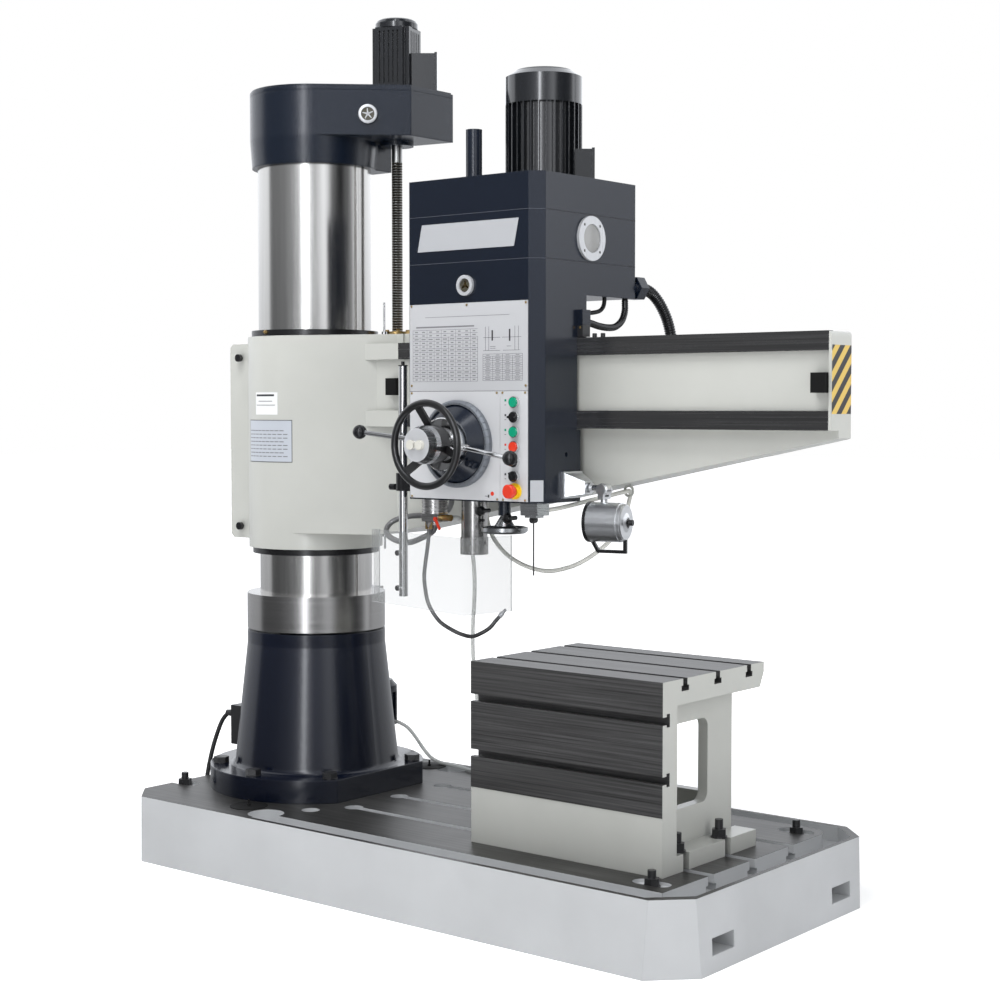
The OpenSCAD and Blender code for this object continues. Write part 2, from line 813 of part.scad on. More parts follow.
module table_slab() {
    back = table_y + table_w;
    translate([table_x, 0, 0]) rotate([90, 0, 90]) linear_extrude(table_l) polygon([
        [table_y + table_wall - 1, table_under], [back - 20, table_under],
        [back, table_under + 40], [back, table_top], [table_y + table_wall - 1, table_top]
    ]);
}
// A window with round corners through a side wall
module table_window(x) {
    y0 = table_y + table_wall + 45;
    y1 = table_y + 314;
    z0 = base_h + 138;
    z1 = table_under - 68;
    r = 26;
    for (y = [y0 + r, y1 - r], z = [z0 + r, z1 - r])
        translate([0, y, z]) rod_x(r, x, x + table_web + 2);
    block(x, x + table_web + 2, y0, y1, z0 + r, z1 - r);
    block(x, x + table_web + 2, y0 + r, y1 - r, z0, z1);
}
module rear_window() {
    block(table_left_web + table_web + 50, table_right_web - table_web - 50,
        table_back_wall - table_web - 1, table_back_wall + 1, base_h + 138, table_under - 68);
}
module table_tee_bolts() {
    color(black) for (x = [table_x + tee_bolt_in, table_end - tee_bolt_in], y = [-slot_pitch, 0])
        translate([x, y, base_h + table_foot_h]) {
            nut_on_stud(11, washer_h + nut_h + 26, table_foot_h + gutter_d - slot_foot_h + 2);
            translate([-18, -18, -table_foot_h - gutter_d + 2])
                cube([36, 36, slot_foot_h - 2.2]);
        }
}

// Column
module column_pedestal() {
    color(paint_dark) difference() {
        union() {
            difference() {
                translate([0, 0, base_h]) cylinder(r = flange_r, h = flange_h, $fn = 96);
                block(flange_flat, flange_r + 1, -flange_r, flange_r, base_h - 1, cone_z + 1);
            }
            rotate_extrude($fn = 96) polygon(concat(
                [[0, base_h + 1], [cone_foot_r + 16, cone_z - 1], [cone_foot_r + 16, cone_z]],
                [for (a = [10:20:90]) [cone_foot_r + 16 - 16 * sin(a), cone_z + 16 - 16 * cos(a)]],
                [[cone_head_r, cone_z + cone_h - 40], [cone_head_r, cone_z + cone_h],
                [0, cone_z + cone_h]]
            ));
        }
        translate([0, 0, base_h - 1]) cylinder(r = inner_r + fit, h = flange_h + cone_h + 2);
    }
}
module inner_column() {
    color(steel) {
        translate([0, 0, base_h]) ring(inner_r, inner_r - inner_wall, column_top - base_h - 12);
        for (z = [ring_z + 50, column_top - bearing_h - 30]) translate([0, 0, z])
            ring(column_bore_r - fit, inner_r - 1, bearing_h);
    }
}
module junction_box() {
    color(black) difference() {
        union() {
            block(-285, -200, -105, -15, 300, 426);
            translate([0, -85, 395]) rod_x(13, -293, -284);
        }
        translate([0, 0, cone_z + 16])
            cylinder(r1 = cone_foot_r, r2 = cone_head_r, h = cone_h - 56, $fn = 96);
    }
}
module outer_column() {
    color(steel) difference() {
        translate([0, 0, ring_z]) cylinder(r = column_r, h = column_top - ring_z, $fn = 96);
        translate([0, 0, ring_z - 1]) cylinder(r = column_bore_r, h = column_top - ring_z - 9, $fn = 96);
        block(column_r - key_d, column_r + 5, -key_w / 2, key_w / 2, ring_top, cap_z);
    }
}
module column_clamp_ring() {
    color(paint_dark) translate([0, 0, ring_z]) difference() {
        union() {
            cylinder(r = ring_r, h = ring_h, $fn = 96);
            block(-60, 60, ring_r - 30, ring_r + 30, 0, ring_h);
        }
        translate([0, 0, -1]) cylinder(r = column_r + fit, h = ring_h + 2, $fn = 96);
        block(-4, 4, column_r - 5, ring_r + 40, -1, ring_h + 1);
    }
}

// Cap
function touch(p, r, side) =
    let (a = atan2(p[1], p[0]) + side * acos(r / norm(p))) [r * cos(a), r * sin(a)];
module cap_outline(inset = 0) {
    r = cap_r - inset;
    near = [cap_reach - inset, cap_near];
    far = [cap_reach - inset, cap_far - inset];
    circle(r = r, $fn = 96);
    polygon([[0, 0], touch(near, r, -1), near, far, touch(far, r, 1)]);
}
module cap_housing() {
    color(paint_dark) difference() {
        union() {
            translate([0, 0, cap_wing_z]) linear_extrude(cap_h) cap_outline();
            translate([0, 0, cap_z]) cylinder(r1 = skirt_r, r2 = cap_r, h = skirt_h + 1, $fn = 96);
            block(70, 150, 60, skirt_r, cap_z, cap_wing_z + 1);
            translate([screw_x, screw_y, cap_wing_z - screw_flange_h])
                cylinder(r = 52, h = screw_flange_h + 1);
            rotate([0, 0, sight_angle()]) translate([cap_r + 2, sight_along(), cap_wing_z + 62])
                rod_x(28, -4, 6);
        }
        translate([0, 0, cap_z - 1]) cylinder(r = column_r + fit, h = column_top - cap_z + 1, $fn = 96);
        translate([screw_x, screw_y, cap_wing_z - screw_flange_h - 1])
            cylinder(r = screw_r + fit, h = 61);
    }
}
function sight_angle() = atan2(cap_near, cap_reach) - acos(cap_r / norm([cap_reach, cap_near]));
function sight_along() = norm([cap_reach, cap_near]) * sin(acos(cap_r / norm([cap_reach, cap_near]))) * 0.56;
module cap_cover() {
    color(paint_dark) {
        translate([0, 0, cap_cover_z]) linear_extrude(cap_cover_h - 5) cap_outline();
        translate([0, 0, cap_top - 5]) linear_extrude(5) cap_outline(4);
    }
}

// Motors
module finned_motor(r, h, fins, foot_h, cowl_h) {
    root = r * 0.86;
    cylinder(r = r * 1.02, h = foot_h);
    translate([0, 0, foot_h - 0.5]) linear_extrude(h - foot_h - cowl_h + 1) union() {
        circle(r = root);
        for (k = [0:fins - 1]) rotate(k * 360 / fins) translate([root - 4, -1.8]) square([r - root + 4, 3.6]);
    }
    translate([0, 0, h - cowl_h]) rotate_extrude() polygon([
        [0, 0], [r, 0], [r, cowl_h - 19], [0.78 * r, cowl_h - 4], [0.74 * r, cowl_h], [0, cowl_h]
    ]);
}
module terminal_box(r, w, out, z0, z1) {
    rotate([0, 0, 39]) {
        block(r * 0.6, r + out - 8, -w / 2, w / 2, z0, z1);
        block(r + out - 8, r + out, -w / 2 - 3, w / 2 + 3, z0 - 3, z1 + 3);
    }
}
module lift_motor() {
    half = lift_motor_w / 2;
    notch = 16;
    lid_h = 27;
    body_top = lift_motor_h - lid_h;
    color(black) translate([screw_x, screw_y, cap_top]) {
        rotate([0, 0, 18.5]) {
            block(-58, 58, -58, 58, 0, 12);
            difference() {
                block(-half, half, -half, half, 11, body_top);
                for (a = [0:90:270]) rotate([0, 0, a]) {
                    block(half - notch, half + 1, half - notch, half + 1, 10, body_top + 1);
                    for (y = [-30:15:30]) block(half - 7, half + 1, y - 3, y + 3, 24, body_top - 12);
                }
            }
        }
        translate([0, 0, body_top - 0.5]) rotate_extrude() polygon([
            [0, 0], [66, 0], [66, lid_h - 11], [61, lid_h - 3], [56, lid_h + 0.5], [0, lid_h + 0.5]
        ]);
        terminal_box(half + 12, 92, 53, 4, 116);
    }
}
module lift_screw() {
    color(steel) translate([screw_x, screw_y, screw_foot]) difference() {
        cylinder(r = screw_r, h = cap_wing_z + 46 - screw_foot);
        translate([0, 0, -1]) cylinder(r = 4, h = 12);
    }
}

// Arm
module arm_side_profile() {
    r = 14;
    polygon(concat(
        [[0, arm_under(0)], [root_x + 90, arm_under(0)], [arm_reach, arm_under(arm_reach)]],
        [for (a = [0:15:90]) [arm_reach - r + r * cos(a), way_top - r + r * sin(a)]],
        [[620, way_top], [560, arm_top], [0, arm_top]]
    ));
}
module arm_plan() {
    polygon([
        [0, 0], touch(root_meet, sleeve_r, -1), root_meet,
        [arm_reach, -way_back], [arm_reach, arm_tip_back - 15], [arm_reach - 15, arm_tip_back],
        [root_x, arm_root_y], [0, arm_root_y + 30]
    ]);
}
module way_block() {
    ledge = way_t - way_face;
    start = 284;
    block(start, arm_reach, ledge, -way_back + 1, lower_way_z, way_top);
    block(start, arm_reach, channel_d - way_face, ledge + 1, lower_way_z + way_h, upper_way_z);
    for (z = [lower_way_z, upper_way_z]) {
        block(start, way_start, -way_face, ledge + 1, z, z + way_h);
        block(way_end, arm_reach, -way_face, ledge + 1, z, z + way_h);
    }
    block(way_end, arm_reach, -way_face, ledge + 1, lower_way_z + 1, way_top);
}
module side_shape(shape_depth) {
    rotate([90, 0, 0]) translate([0, 0, -shape_depth]) linear_extrude(2 * shape_depth) arm_side_profile();
}
module arm_casting() {
    color(paint_pale) difference() {
        union() {
            translate([0, 0, arm_z]) cylinder(r = sleeve_r, h = sleeve_h, $fn = 96);
            intersection() {
                side_shape(arm_reach);
                union() {
                    translate([0, 0, arm_z]) linear_extrude(sleeve_h) arm_plan();
                    way_block();
                }
            }
            translate([screw_x, screw_y, arm_top - screw_boss_h])
                cylinder(r = screw_boss_r, h = screw_boss_h);
            translate([conduit_end[0], 0, conduit_end[2]]) rod_y(26, arm_back(conduit_end[0]) - 8, conduit_end[1]);
            translate([hose_eye[0], hose_eye[1], hose_eye[2]]) rotate([90, 0, 0]) rotate_extrude()
                translate([eye_r, 0]) circle(r = 3.5, $fn = 24);
        }
        translate([0, 0, arm_z - 1]) cylinder(r = column_r + fit, h = sleeve_h + 2, $fn = 96);
        translate([screw_x, screw_y, arm_z - 1]) cylinder(r = screw_r + 1.5, h = sleeve_h + 2);
        translate([screw_x, screw_y, arm_top - nut_barrel_l])
            cylinder(r = nut_barrel_r + fit, h = nut_barrel_l + 1);
        translate([rod[0], rod[1], arm_z - 1]) cylinder(r = rod_r + fit, h = sleeve_h + 2);
        block(root_clear, 640, -way_back - 50, 2 - lip_y, way_top, arm_top + 1);
    }
    color(steel) block(column_r - key_d + pass_gap, column_r + 3, pass_gap - key_w / 2,
        key_w / 2 - pass_gap, arm_z + 40, arm_top - 40);
}
module arm_ways() {
    color(steel) for (z = [lower_way_z, upper_way_z])
        block(way_start, way_end, -way_face, way_t - way_face, z, z + way_h);
}
module wiper_rings() {
    color(black) for (z = [arm_z - wiper_h, arm_top]) translate([0, 0, z])
        ring(wiper_r, column_r + pass_gap, wiper_h);
}
module lift_nut() {
    color(brass) translate([screw_x, screw_y, arm_top - nut_barrel_l + 1]) difference() {
        union() {
            cylinder(r = nut_barrel_r, h = nut_barrel_l);
            translate([0, 0, nut_barrel_l - 1]) cylinder(r = nut_flange_r, h = nut_flange_h);
            for (k = [0:3]) rotate([0, 0, 45 + 90 * k])
                translate([nut_flange_r - 8, 0, nut_barrel_l - 1 + nut_flange_h]) hexagon(11, 6);
        }
        translate([0, 0, -1]) cylinder(r = screw_r + fit, h = nut_barrel_l + nut_flange_h + 2);
    }
}
module electric_cabinet() {
    z0 = arm_z + cabinet_inset;
    z1 = arm_top - cabinet_inset;
    color(paint_pale) difference() {
        rotate([90, 0, 0]) translate([0, 0, -cabinet_back]) linear_extrude(cabinet_back + cabinet_front)
            polygon([
                [-cabinet_x, z0 + 12], [-cabinet_x + 12, z0], [0, z0], [0, z1],
                [-cabinet_x + 12, z1], [-cabinet_x, z1 - 12]
            ]);
        cylinder(r = sleeve_r + fit, h = arm_top + 1, $fn = 96);
    }
    color(black) for (z = [z0 + 38, z1 - 44]) translate([-cabinet_x + 54, -cabinet_front, z]) {
        rod_y(5, -8, 0);
        rod_y(12, -20, -8);
    }
}
module travel_buffers() {
    z = (lower_way_z + upper_way_z + way_h) / 2 - 30;
    color(black) for (x = [way_start - 37, way_end - 42])
        block(x, x + 40, -way_face - 16, channel_d - way_face, z, z + 50);
}
module limit_rod() {
    color(chrome) translate([rod[0], rod[1], arm_z + arm_root_z - rod_down]) {
        cylinder(r = rod_r, h = sleeve_h - arm_root_z + rod_down + rod_up);
        translate([0, 0, rod_down - 12]) cylinder(r = 8, h = 11.8);
    }
    color(chrome) translate([rod[0], rod[1], arm_top + 0.2]) cylinder(r = 8, h = 12);
}
module head_conduit() {
    color(black) ribbed_cord(conduit_route, conduit_d, 8);
}

// Head
module head_plan(rear) {
    polygon([
        [head_x, front], [head_end - head_corner, front], [head_end, front + head_corner],
        [head_end, rear], [head_x, rear]
    ]);
}
module spindle_bore(z0, z1, r) {
    translate([spindle_x, spindle_y, z0]) cylinder(r = r, h = z1 - z0);
}
module head_housing() {
    color(paint_dark) difference() {
        union() {
            translate([0, 0, head_z]) linear_extrude(housing_h) head_plan(-head_rear);
            translate([0, 0, head_z]) linear_extrude(head_drop - 4) head_plan(-head_low_rear);
            translate([0, 0, way_top + pass_gap]) linear_extrude(gearbox_z - way_top - pass_gap)
                head_plan(-lip_y);
            translate([0, 0, overhang_z]) linear_extrude(overhang_h) head_plan(head_back);
            translate([fine_x, under_y, head_z - boss_h]) cylinder(r = boss_r, h = boss_h + 1);
            translate([conduit_route[0][0], head_back, conduit_route[0][2]]) {
                rod_y(20, 0, 12);
                translate([0, 50, 0]) rotate([90, 0, 0]) hexagon(62, 38.5);
            }
        }
        spindle_bore(head_z - 1, quill_top + 30, quill_r + fit);
        spindle_bore(quill_top + 29, gearbox_z + 1, spline_r + 2);
        translate([fine_x, under_y, head_z - boss_h - 1]) cylinder(r = 10 + fit, h = boss_h);
        translate([head_end - 8, -147, head_z + 129]) rod_x(6.5, 0, 20);
    }
}
module head_gearbox() {
    color(paint_dark) difference() {
        translate([0, 0, gearbox_z]) linear_extrude(gearbox_h) head_plan(head_back);
        spindle_bore(gearbox_z - 1, cover_z + 1, spline_r + 2);
    }
}
module head_cover() {
    color(paint_dark) difference() {
        union() {
            translate([0, 0, cover_z]) linear_extrude(cover_h) head_plan(head_back);
            translate([spindle_x, spindle_y, head_top - 1]) cylinder(d = tube_d, h = tube_h + 1);
        }
        spindle_bore(cover_z - 1, head_top + tube_h - 6, spline_r + 2);
    }
}
module front_plates() {
    right = head_end - head_corner;
    mid = head_z + lower_plate_h;
    color(chrome) difference() {
        union() {
            block(head_x + 3, plate_split - 1, plate_front, front, head_z + 4, mid);
            block(plate_split, right - 1, plate_front, front, head_z + 4, mid);
            block(head_x + 3, right - 1, plate_front, front, mid + 1, mid + 1 + speed_plate_h);
            for (z = button_rows) translate([panel_x, 0, z]) rod_y(bezel_d / 2, plate_front - bezel_h, front);
            translate([panel_x, 0, button_rows[0]]) rod_y(stop_collar_r, plate_front - 5, front);
        }
        for (z = button_rows) translate([panel_x, 0, z])
            rod_y(button_d / 2 + pass_gap, plate_front - bezel_h - 1, plate_front);
        translate([feed_x, 0, feed_z]) rod_y(hub_shaft_r + 1, plate_front - 1, front + 1);
    }
}
module main_motor() {
    color(black) translate([head_x + motor_x, motor_y, head_top]) {
        finned_motor(motor_r, motor_h, 30, 20, 97);
        terminal_box(motor_r, 110, 33, 5, 98);
    }
}
module head_sights() {
    color(chrome) {
        translate([0, -40, gearbox_z + gearbox_h / 2]) difference() {
            rod_x(61, head_end, head_end + 8);
            rod_x(39, head_end + 3, head_end + 9);
            for (a = [45:90:315]) rotate([a, 0, 0]) translate([0, 50, 0])
                rod_x(4, head_end + 4, head_end + 9);
        }
        translate([feed_x + 27, 0, gearbox_z - 64]) difference() {
            rod_y(28, front - 9, front);
            rod_y(19, front - 10, front - 3);
        }
    }
}

// Feed hub
module depth_dial() {
    color(steel) translate([feed_x, plate_front, feed_z]) rotate([90, 0, 0]) difference() {
        rotate_extrude($fn = 96) polygon([
            [disc_r + 1, 0], [dial_r, 0], [dial_r, dial_h - 6], [dial_r - 6, dial_h], [disc_r + 1, dial_h]
        ]);
        for (k = [0:35]) rotate([0, 0, 10 * k]) translate([dial_r - 5, -0.6, dial_h - 12])
            cube([6, 1.2, 20]);
    }
}
module feed_hub() {
    cone = plate_front - 1 - cone_front;
    top = plate_front - 1 - hub_front;
    neck = plate_front - 1 - neck_front;
    lever_root = hub_r - 8;
    rod_l = (lever_l - lever_root) / cos(lever_tilt);
    color(paint_dark) translate([feed_x, plate_front - 1, feed_z]) rotate([90, 0, 0]) difference() {
        union() {
            rotate_extrude($fn = 96) polygon([
                [0, 0], [disc_r, 0], [disc_r, 12], [hub_r + 2, cone - 2], [hub_r, cone],
                [hub_r, top - 3], [hub_r - 3, top], [neck_r, top], [neck_r, neck], [0, neck]
            ]);
            for (s = [0, 180]) rotate([0, 0, s - lever_lean]) translate([lever_root, 0, cone + 12])
                rotate([0, -lever_tilt, 0]) {
                    rod_x(lever_d / 2, 0, rod_l);
                    rod_x(lever_d / 2 + 3, 0, 22);
                    translate([rod_l, 0, 0]) sphere(d = ball_d);
                }
            rotate([0, 0, -34]) {
                translate([hub_r + 8, -9, 0]) cube([22, 18, 40]);
                translate([hub_r + 19, 0, 36]) cylinder(r = 8, h = 18);
            }
        }
        translate([0, 0, -1]) cylinder(r = hub_shaft_r + fit, h = neck + 2);
    }
}
module handwheel() {
    r = wheel_r - rim_d / 2;
    depth = wheel_back - wheel_front;
    root = [barrel_r - 6, 8];
    run = r - root[0];
    rise = rim_out - root[1];
    color(black) translate([feed_x, wheel_back, feed_z]) rotate([90, 0, 0]) difference() {
        union() {
            translate([0, 0, rim_out]) rotate_extrude($fn = 96) translate([r, 0]) circle(d = rim_d, $fn = 32);
            cylinder(r = barrel_r, h = depth);
            for (a = [105.6:120:345.6]) rotate([0, 0, a]) translate([root[0], 0, root[1]])
                rotate([0, -atan(rise / run), 0]) block(0, norm([run, rise]), -11, 11, -4, 4);
        }
        translate([0, 0, -1]) cylinder(r = hub_shaft_r + fit, h = depth + 2);
    }
}
module hub_barrel() {
    color(chrome) translate([feed_x, front, feed_z]) rotate([90, 0, 0]) {
        back = front - barrel_back;
        top = front - barrel_front;
        difference() {
            rotate_extrude($fn = 96) polygon([
                [0, 0], [hub_shaft_r, 0], [hub_shaft_r, back], [barrel_r - 1, back],
                [barrel_r, back + 1], [barrel_r, top - 24], [barrel_r - 7, top], [0, top]
            ]);
            for (s = [-1, 1]) translate([s * barrel_button_gap / 2, 0, top - 8])
                cylinder(r = barrel_button_d / 2 + pass_gap, h = 9);
        }
    }
}
module barrel_button(s) {
    color(paint_pale) translate([feed_x + s * barrel_button_gap / 2, 0, feed_z])
        rod_y(barrel_button_d / 2, barrel_front - barrel_button_out, barrel_front + 4);
}
module clamp_button_left() { barrel_button(-1); }
module clamp_button_right() { barrel_button(1); }

// Quill and spindle
module quill() {
    color(steel) translate([spindle_x, spindle_y, quill_z]) difference() {
        cylinder(r = quill_r, h = quill_l);
        translate([0, 0, -1]) cylinder(r = shaft_r + fit, h = quill_l + 2);
    }
}
module spindle() {
    color(steel) translate([spindle_x, spindle_y, nose_z]) difference() {
        union() {
            cylinder(d = nose_d, h = nose_h);
            cylinder(r = shaft_r, h = nose_h + nose_gap + quill_l);
            cylinder(r = spline_r, h = nose_h + nose_gap + quill_l + spline_l);
            translate([0, 0, nose_h + nose_gap + quill_l + 0.5]) cylinder(r = shaft_r + 5, h = 10);
        }
        translate([0, 0, -1]) cylinder(r1 = taper_d / 2 + 0.03, r2 = taper_d / 2 - 3.1, h = taper_l + 1);
        block(-50, 50, -4, 4, 28, 40);
    }
}

// Operator panel
module selector(row, turn) {
    color(black) translate([panel_x, plate_front, button_rows[row]]) rotate([90, turn, 0]) {
        translate([0, 0, 0.3]) cylinder(d = button_d, h = knob_out - 8);
        translate([-3, -button_d / 2 + 1, 0.3]) cube([6, button_d - 2, knob_out]);
    }
}
module push_button(row, tint) {
    color(tint) translate([panel_x, 0, button_rows[row]])
        rod_y(button_d / 2, plate_front - button_out, plate_front - 5);
}
module selector_upper() { selector(5, 90); }
module selector_middle() { selector(2, 30); }
module selector_lower() { selector(1, -30); }
module green_button_upper() { push_button(6, "#12a070"); }
module green_button_lower() { push_button(4, "#12a070"); }
module red_button() { push_button(3, "#e04a30"); }
module stop_button() {
    color("#d8402a") translate([panel_x, plate_front, button_rows[0]]) rotate([90, 0, 0]) {
        translate([0, 0, 6]) cylinder(d = button_d, h = 14);
        rotate_extrude() polygon([
            [0, 19], [stop_d / 2 - 2, 19], [stop_d / 2, 21], [stop_d / 2, 32], [stop_d / 2 - 3, 35], [0, 35]
        ]);
    }
}

// Under the head
module fine_wheel() {
    color(steel) translate([fine_x, under_y, fine_z]) rotate_extrude($fn = 96) polygon([
        [0, -16], [18, -16], [26, -13], [fine_wheel_r - 14, -13], [fine_wheel_r - 8, -18],
        [fine_wheel_r, -12], [fine_wheel_r, -2], [fine_wheel_r - 8, 0], [fine_wheel_r - 14, -6],
        [34, -4], [28, 2], [12, fine_wheel_drop - boss_h - 2], [10, fine_wheel_drop - boss_h - 1],
        [10, fine_wheel_drop - 4], [0, fine_wheel_drop - 4]
    ]);
}
module coolant_manifold() {
    color(steel) translate([manifold_x, under_y, 0]) {
        translate([0, 0, manifold_z]) difference() {
            cylinder(r = manifold_r, h = manifold_h);
            for (k = [0:3]) translate([0, 0, 6 + 8 * k]) ring(manifold_r + 1, manifold_r - 2.5, 3);
        }
        block(-valve_w / 2, valve_w / 2, -valve_y / 2, valve_y / 2, valve_z, manifold_z);
        translate([outlet_x - manifold_x, 24, 0]) {
            block(-11, 11, -4, 12, valve_z, manifold_z);
            translate([0, 0, feed_hose_route[0][2]]) cylinder(r = 10, h = 13);
        }
    }
    color(brass) {
        translate([outlet_x, under_y, valve_z - outlet_l]) difference() {
            hexagon(19, outlet_l);
            translate([0, 0, -1]) cylinder(r = 4, h = outlet_l);
        }
        translate([0, under_y, tee_z]) rod_x(9, manifold_x + valve_w / 2, tee_x + 12);
        translate([746, 0, tee_z]) rod_y(8, under_y, -218);
    }
}
module valve_lever() {
    color("#b8382c") translate([lever_x, under_y - valve_y / 2 - 0.3, valve_z + 9]) {
        rod_y(6, -6, 0);
        rotate([0, 60, 0]) block(0, 34, -5, -2, -4, 4);
    }
}
module head_hoses() {
    color(steel) {
        cord(nozzle_route, nozzle_hose_d, 4);
        cord(feed_hose_route, feed_hose_d, 4);
    }
    color(black) {
        ribbed_cord(loop_route, loop_d, 9);
        cord(thin_route, 12, 4);
    }
}
module guide_hose() { color(paint_pale) cord(guide_route, 12, 3); }
module trip_switch() {
    color(steel) difference() {
        union() {
            block(trip_x - 28, trip_x + 30, under_y - 22, under_y + 30, trip_z + 12, head_z);
            block(trip_x - 18, trip_x + 22, under_y - 16, under_y + 16, trip_z + 6, trip_z + 13);
        }
        translate([trip_x, under_y, trip_z]) rod_y(9 + pass_gap, -9, 9);
    }
}
module trip_rod() {
    color(chrome) translate([trip_x, under_y, trip_z]) {
        rod_y(9, -8, 8);
        translate([0, 0, -trip_l]) cylinder(d = trip_d, h = trip_l);
    }
}

// Lamp
module lamp_bracket() {
    x0 = head_end;
    z = lamp_z + 4;
    color(steel) difference() {
        union() {
            block(x0, x0 + 9, lamp_y - 50, lamp_y + 36, z - 29, z + 43);
            hull() {
                block(x0 + 9, x0 + 10, lamp_y - 46, lamp_y + 32, z - 25, z + 39);
                block(x0 + 54, x0 + 55, lamp_y - 17, lamp_y + 17, z - 17, z + 17);
            }
            translate([0, lamp_y, z]) rod_x(14, x0 + 55, x0 + 66);
        }
        translate([0, lamp_y, z]) rod_x(8 + fit, x0 + 20, x0 + 67);
    }
}
module lamp_arm() {
    color(chrome) difference() {
        union() {
            translate([0, lamp_y, lamp_z + 4]) rod_x(8, head_end + 21, lamp_x - knuckle_r + 4);
            translate([lamp_x, lamp_y, lamp_z]) rod_y(knuckle_r, -lamp_eye_w / 2, lamp_eye_w / 2);
        }
        translate([lamp_x, lamp_y, lamp_z]) rod_y(5 + fit, -lamp_eye_w, lamp_eye_w);
    }
}
module lamp() {
    cheek = 8;
    out = lamp_eye_w / 2 + pass_gap;
    fork_z = -knuckle_r - 8;
    cap_l = 14;
    color(chrome) translate([lamp_x, lamp_y, lamp_z]) {
        rod_y(5, -out - cheek, out + cheek);
        for (s = [-1, 1]) translate([0, s * (out + cheek / 2), 0]) {
            rod_y(knuckle_r - 2, -cheek / 2, cheek / 2);
            block(-9, 9, -cheek / 2, cheek / 2, fork_z, 0);
        }
        block(-9, 9, -out - 1, out + 1, fork_z, -knuckle_r - 2);
        translate([0, 0, lamp_r - lamp_drop - 4]) cylinder(r = 9.5, h = lamp_drop - lamp_r + 5 + fork_z);
    }
    translate([lamp_x, lamp_y, lamp_axis_z]) rotate([0, 0, lamp_turn]) {
        color(steel) translate([-lamp_behind, 0, 0]) rotate([0, 90, 0]) difference() {
            rotate_extrude() polygon([
                [0, 0], [lamp_r + 2, 0], [lamp_r + 2, 8], [lamp_r, 9], [lamp_r, lamp_l - cap_l],
                [lamp_r - 3, lamp_l - cap_l + 1], [lamp_r - 3, lamp_l - 4], [lamp_r - 7, lamp_l],
                [26, lamp_l], [8, lamp_l + 7], [8, lamp_l + 19], [0, lamp_l + 19]
            ]);
            translate([0, 0, -1]) cylinder(r1 = lamp_r - 6, r2 = lamp_r - 22, h = 40);
        }
        color(black) translate([0, 5, -lamp_r]) rotate([90, 0, 0]) linear_extrude(10) polygon([
            [-40, 5], [-19, -30], [66, -30], [66, 8], [57, 8], [57, -21], [-14, -21], [-30, 5]
        ]);
    }
}

// Splash guard
module guard_clamp() {
    z0 = head_z + 20;
    color(black) difference() {
        union() {
            block(post_x, head_x, -post_y - 18, -post_y + 18, z0, z0 + 50);
            translate([post_x, -post_y, z0]) cylinder(r = post_r + 8, h = 50);
            translate([post_x - post_r - 7, -post_y, z0 + 10]) rod_x(5, -12, 1);
            translate([post_x - post_r - 26, -post_y, z0 + 10]) rod_x(9, -10, 9);
        }
        translate([post_x, -post_y, z0 - 1]) cylinder(r = post_r + fit, h = 52);
    }
}
module guard_post() {
    color(chrome) translate([post_x, -post_y, post_z]) cylinder(r = post_r, h = post_l);
    color(black) {
        translate([post_x, -post_y, post_z + post_l]) {
            cylinder(r = post_r + 1, h = 3);
            translate([0, 0, 3]) cylinder(r = 5, h = 10);
        }
        for (z = [sheet_z + 50, sheet_z + 150]) difference() {
            translate([post_x, 0, z]) {
                rod_y(6, sheet_y(post_x), -post_y);
                rod_y(8, sheet_y(post_x) - sheet_t - 6, sheet_y(post_x) - sheet_t - 0.5);
            }
            translate([0, 0, -1]) sheet_slab(pass_gap);
        }
    }
}
function sheet_y(x) =
    let (a = sheet_plan[1], b = sheet_plan[2]) a[1] + (x - a[0]) / (b[0] - a[0]) * (b[1] - a[1]) + sheet_t;
// The bent sheet as one outline: out along the points and back one thickness inside
module sheet_slab(extra) {
    t = sheet_t + extra;
    p = sheet_plan;
    translate([0, 0, sheet_z - 2]) linear_extrude(sheet_h + 4) polygon([
        p[0] - [extra, 0], p[1] - [extra, extra], p[2] - [0, extra], p[3] + [extra, 0],
        p[3] + [-t, 0], p[2] + [-t, t + 1], p[1] + [t, t], p[0] + [t, 0]
    ]);
}
module guard_sheet() {
    color([0.85, 0.9, 0.92, 0.4]) intersection() {
        sheet_slab(0);
        block(post_x - 400, post_x + 500, -500, 0, sheet_z, sheet_z + sheet_h);
    }
}

// Coolant pump and cords
module coolant_pump() {
    color(paint_dark) translate([pump[0], pump[1], base_h]) {
        cylinder(r = 78, h = 12);
        translate([0, 0, 12]) cylinder(r = 46, h = 109);
        translate([0, 0, 120]) finned_motor(62, 150, 16, 10, 40);
        translate([0, 0, 133]) rod_x(13, 40, 63);
    }
}
module power_cable() { color(black) cord(cable_route, cable_d, 4); }
module coolant_hose() { color(chrome) cord(hose_route, clear_hose_d, 3); }

// One line in two layers: in on the floor, up a layer in half a turn, and out again
function coil_at(u) =
    let (
        n = coil_turns,
        r = u <= n ? coil_out_r - coil_pitch * u
            : u >= n + 0.5 ? coil_out_r - coil_pitch * n + coil_pitch * (u - n - 0.5)
            : coil_out_r - coil_pitch * n,
        z = u <= n ? 0 : u >= n + 0.5 ? 1 : (1 - cos(360 * (u - n))) / 2
    )
    [coil_centre[0] + r * sin(360 * u), coil_centre[1] - r * cos(360 * u),
        cable_d / 2 + z * coil_layer];
coil_turned = [for (k = [0:coil_steps * (2 * coil_turns + 0.5)]) coil_at(k / coil_steps)];
coil_line = concat([coil_turned[0], coil_turned[0] + [2, 0, 0]],
    [for (k = [1:len(coil_turned) - 1]) coil_turned[k]], [
    for (p = tail) [p[0], coil_centre[1] + coil_out_r + p[1], cable_d / 2 + coil_layer]
]);
coil_end = coil_line[len(coil_line) - 1];
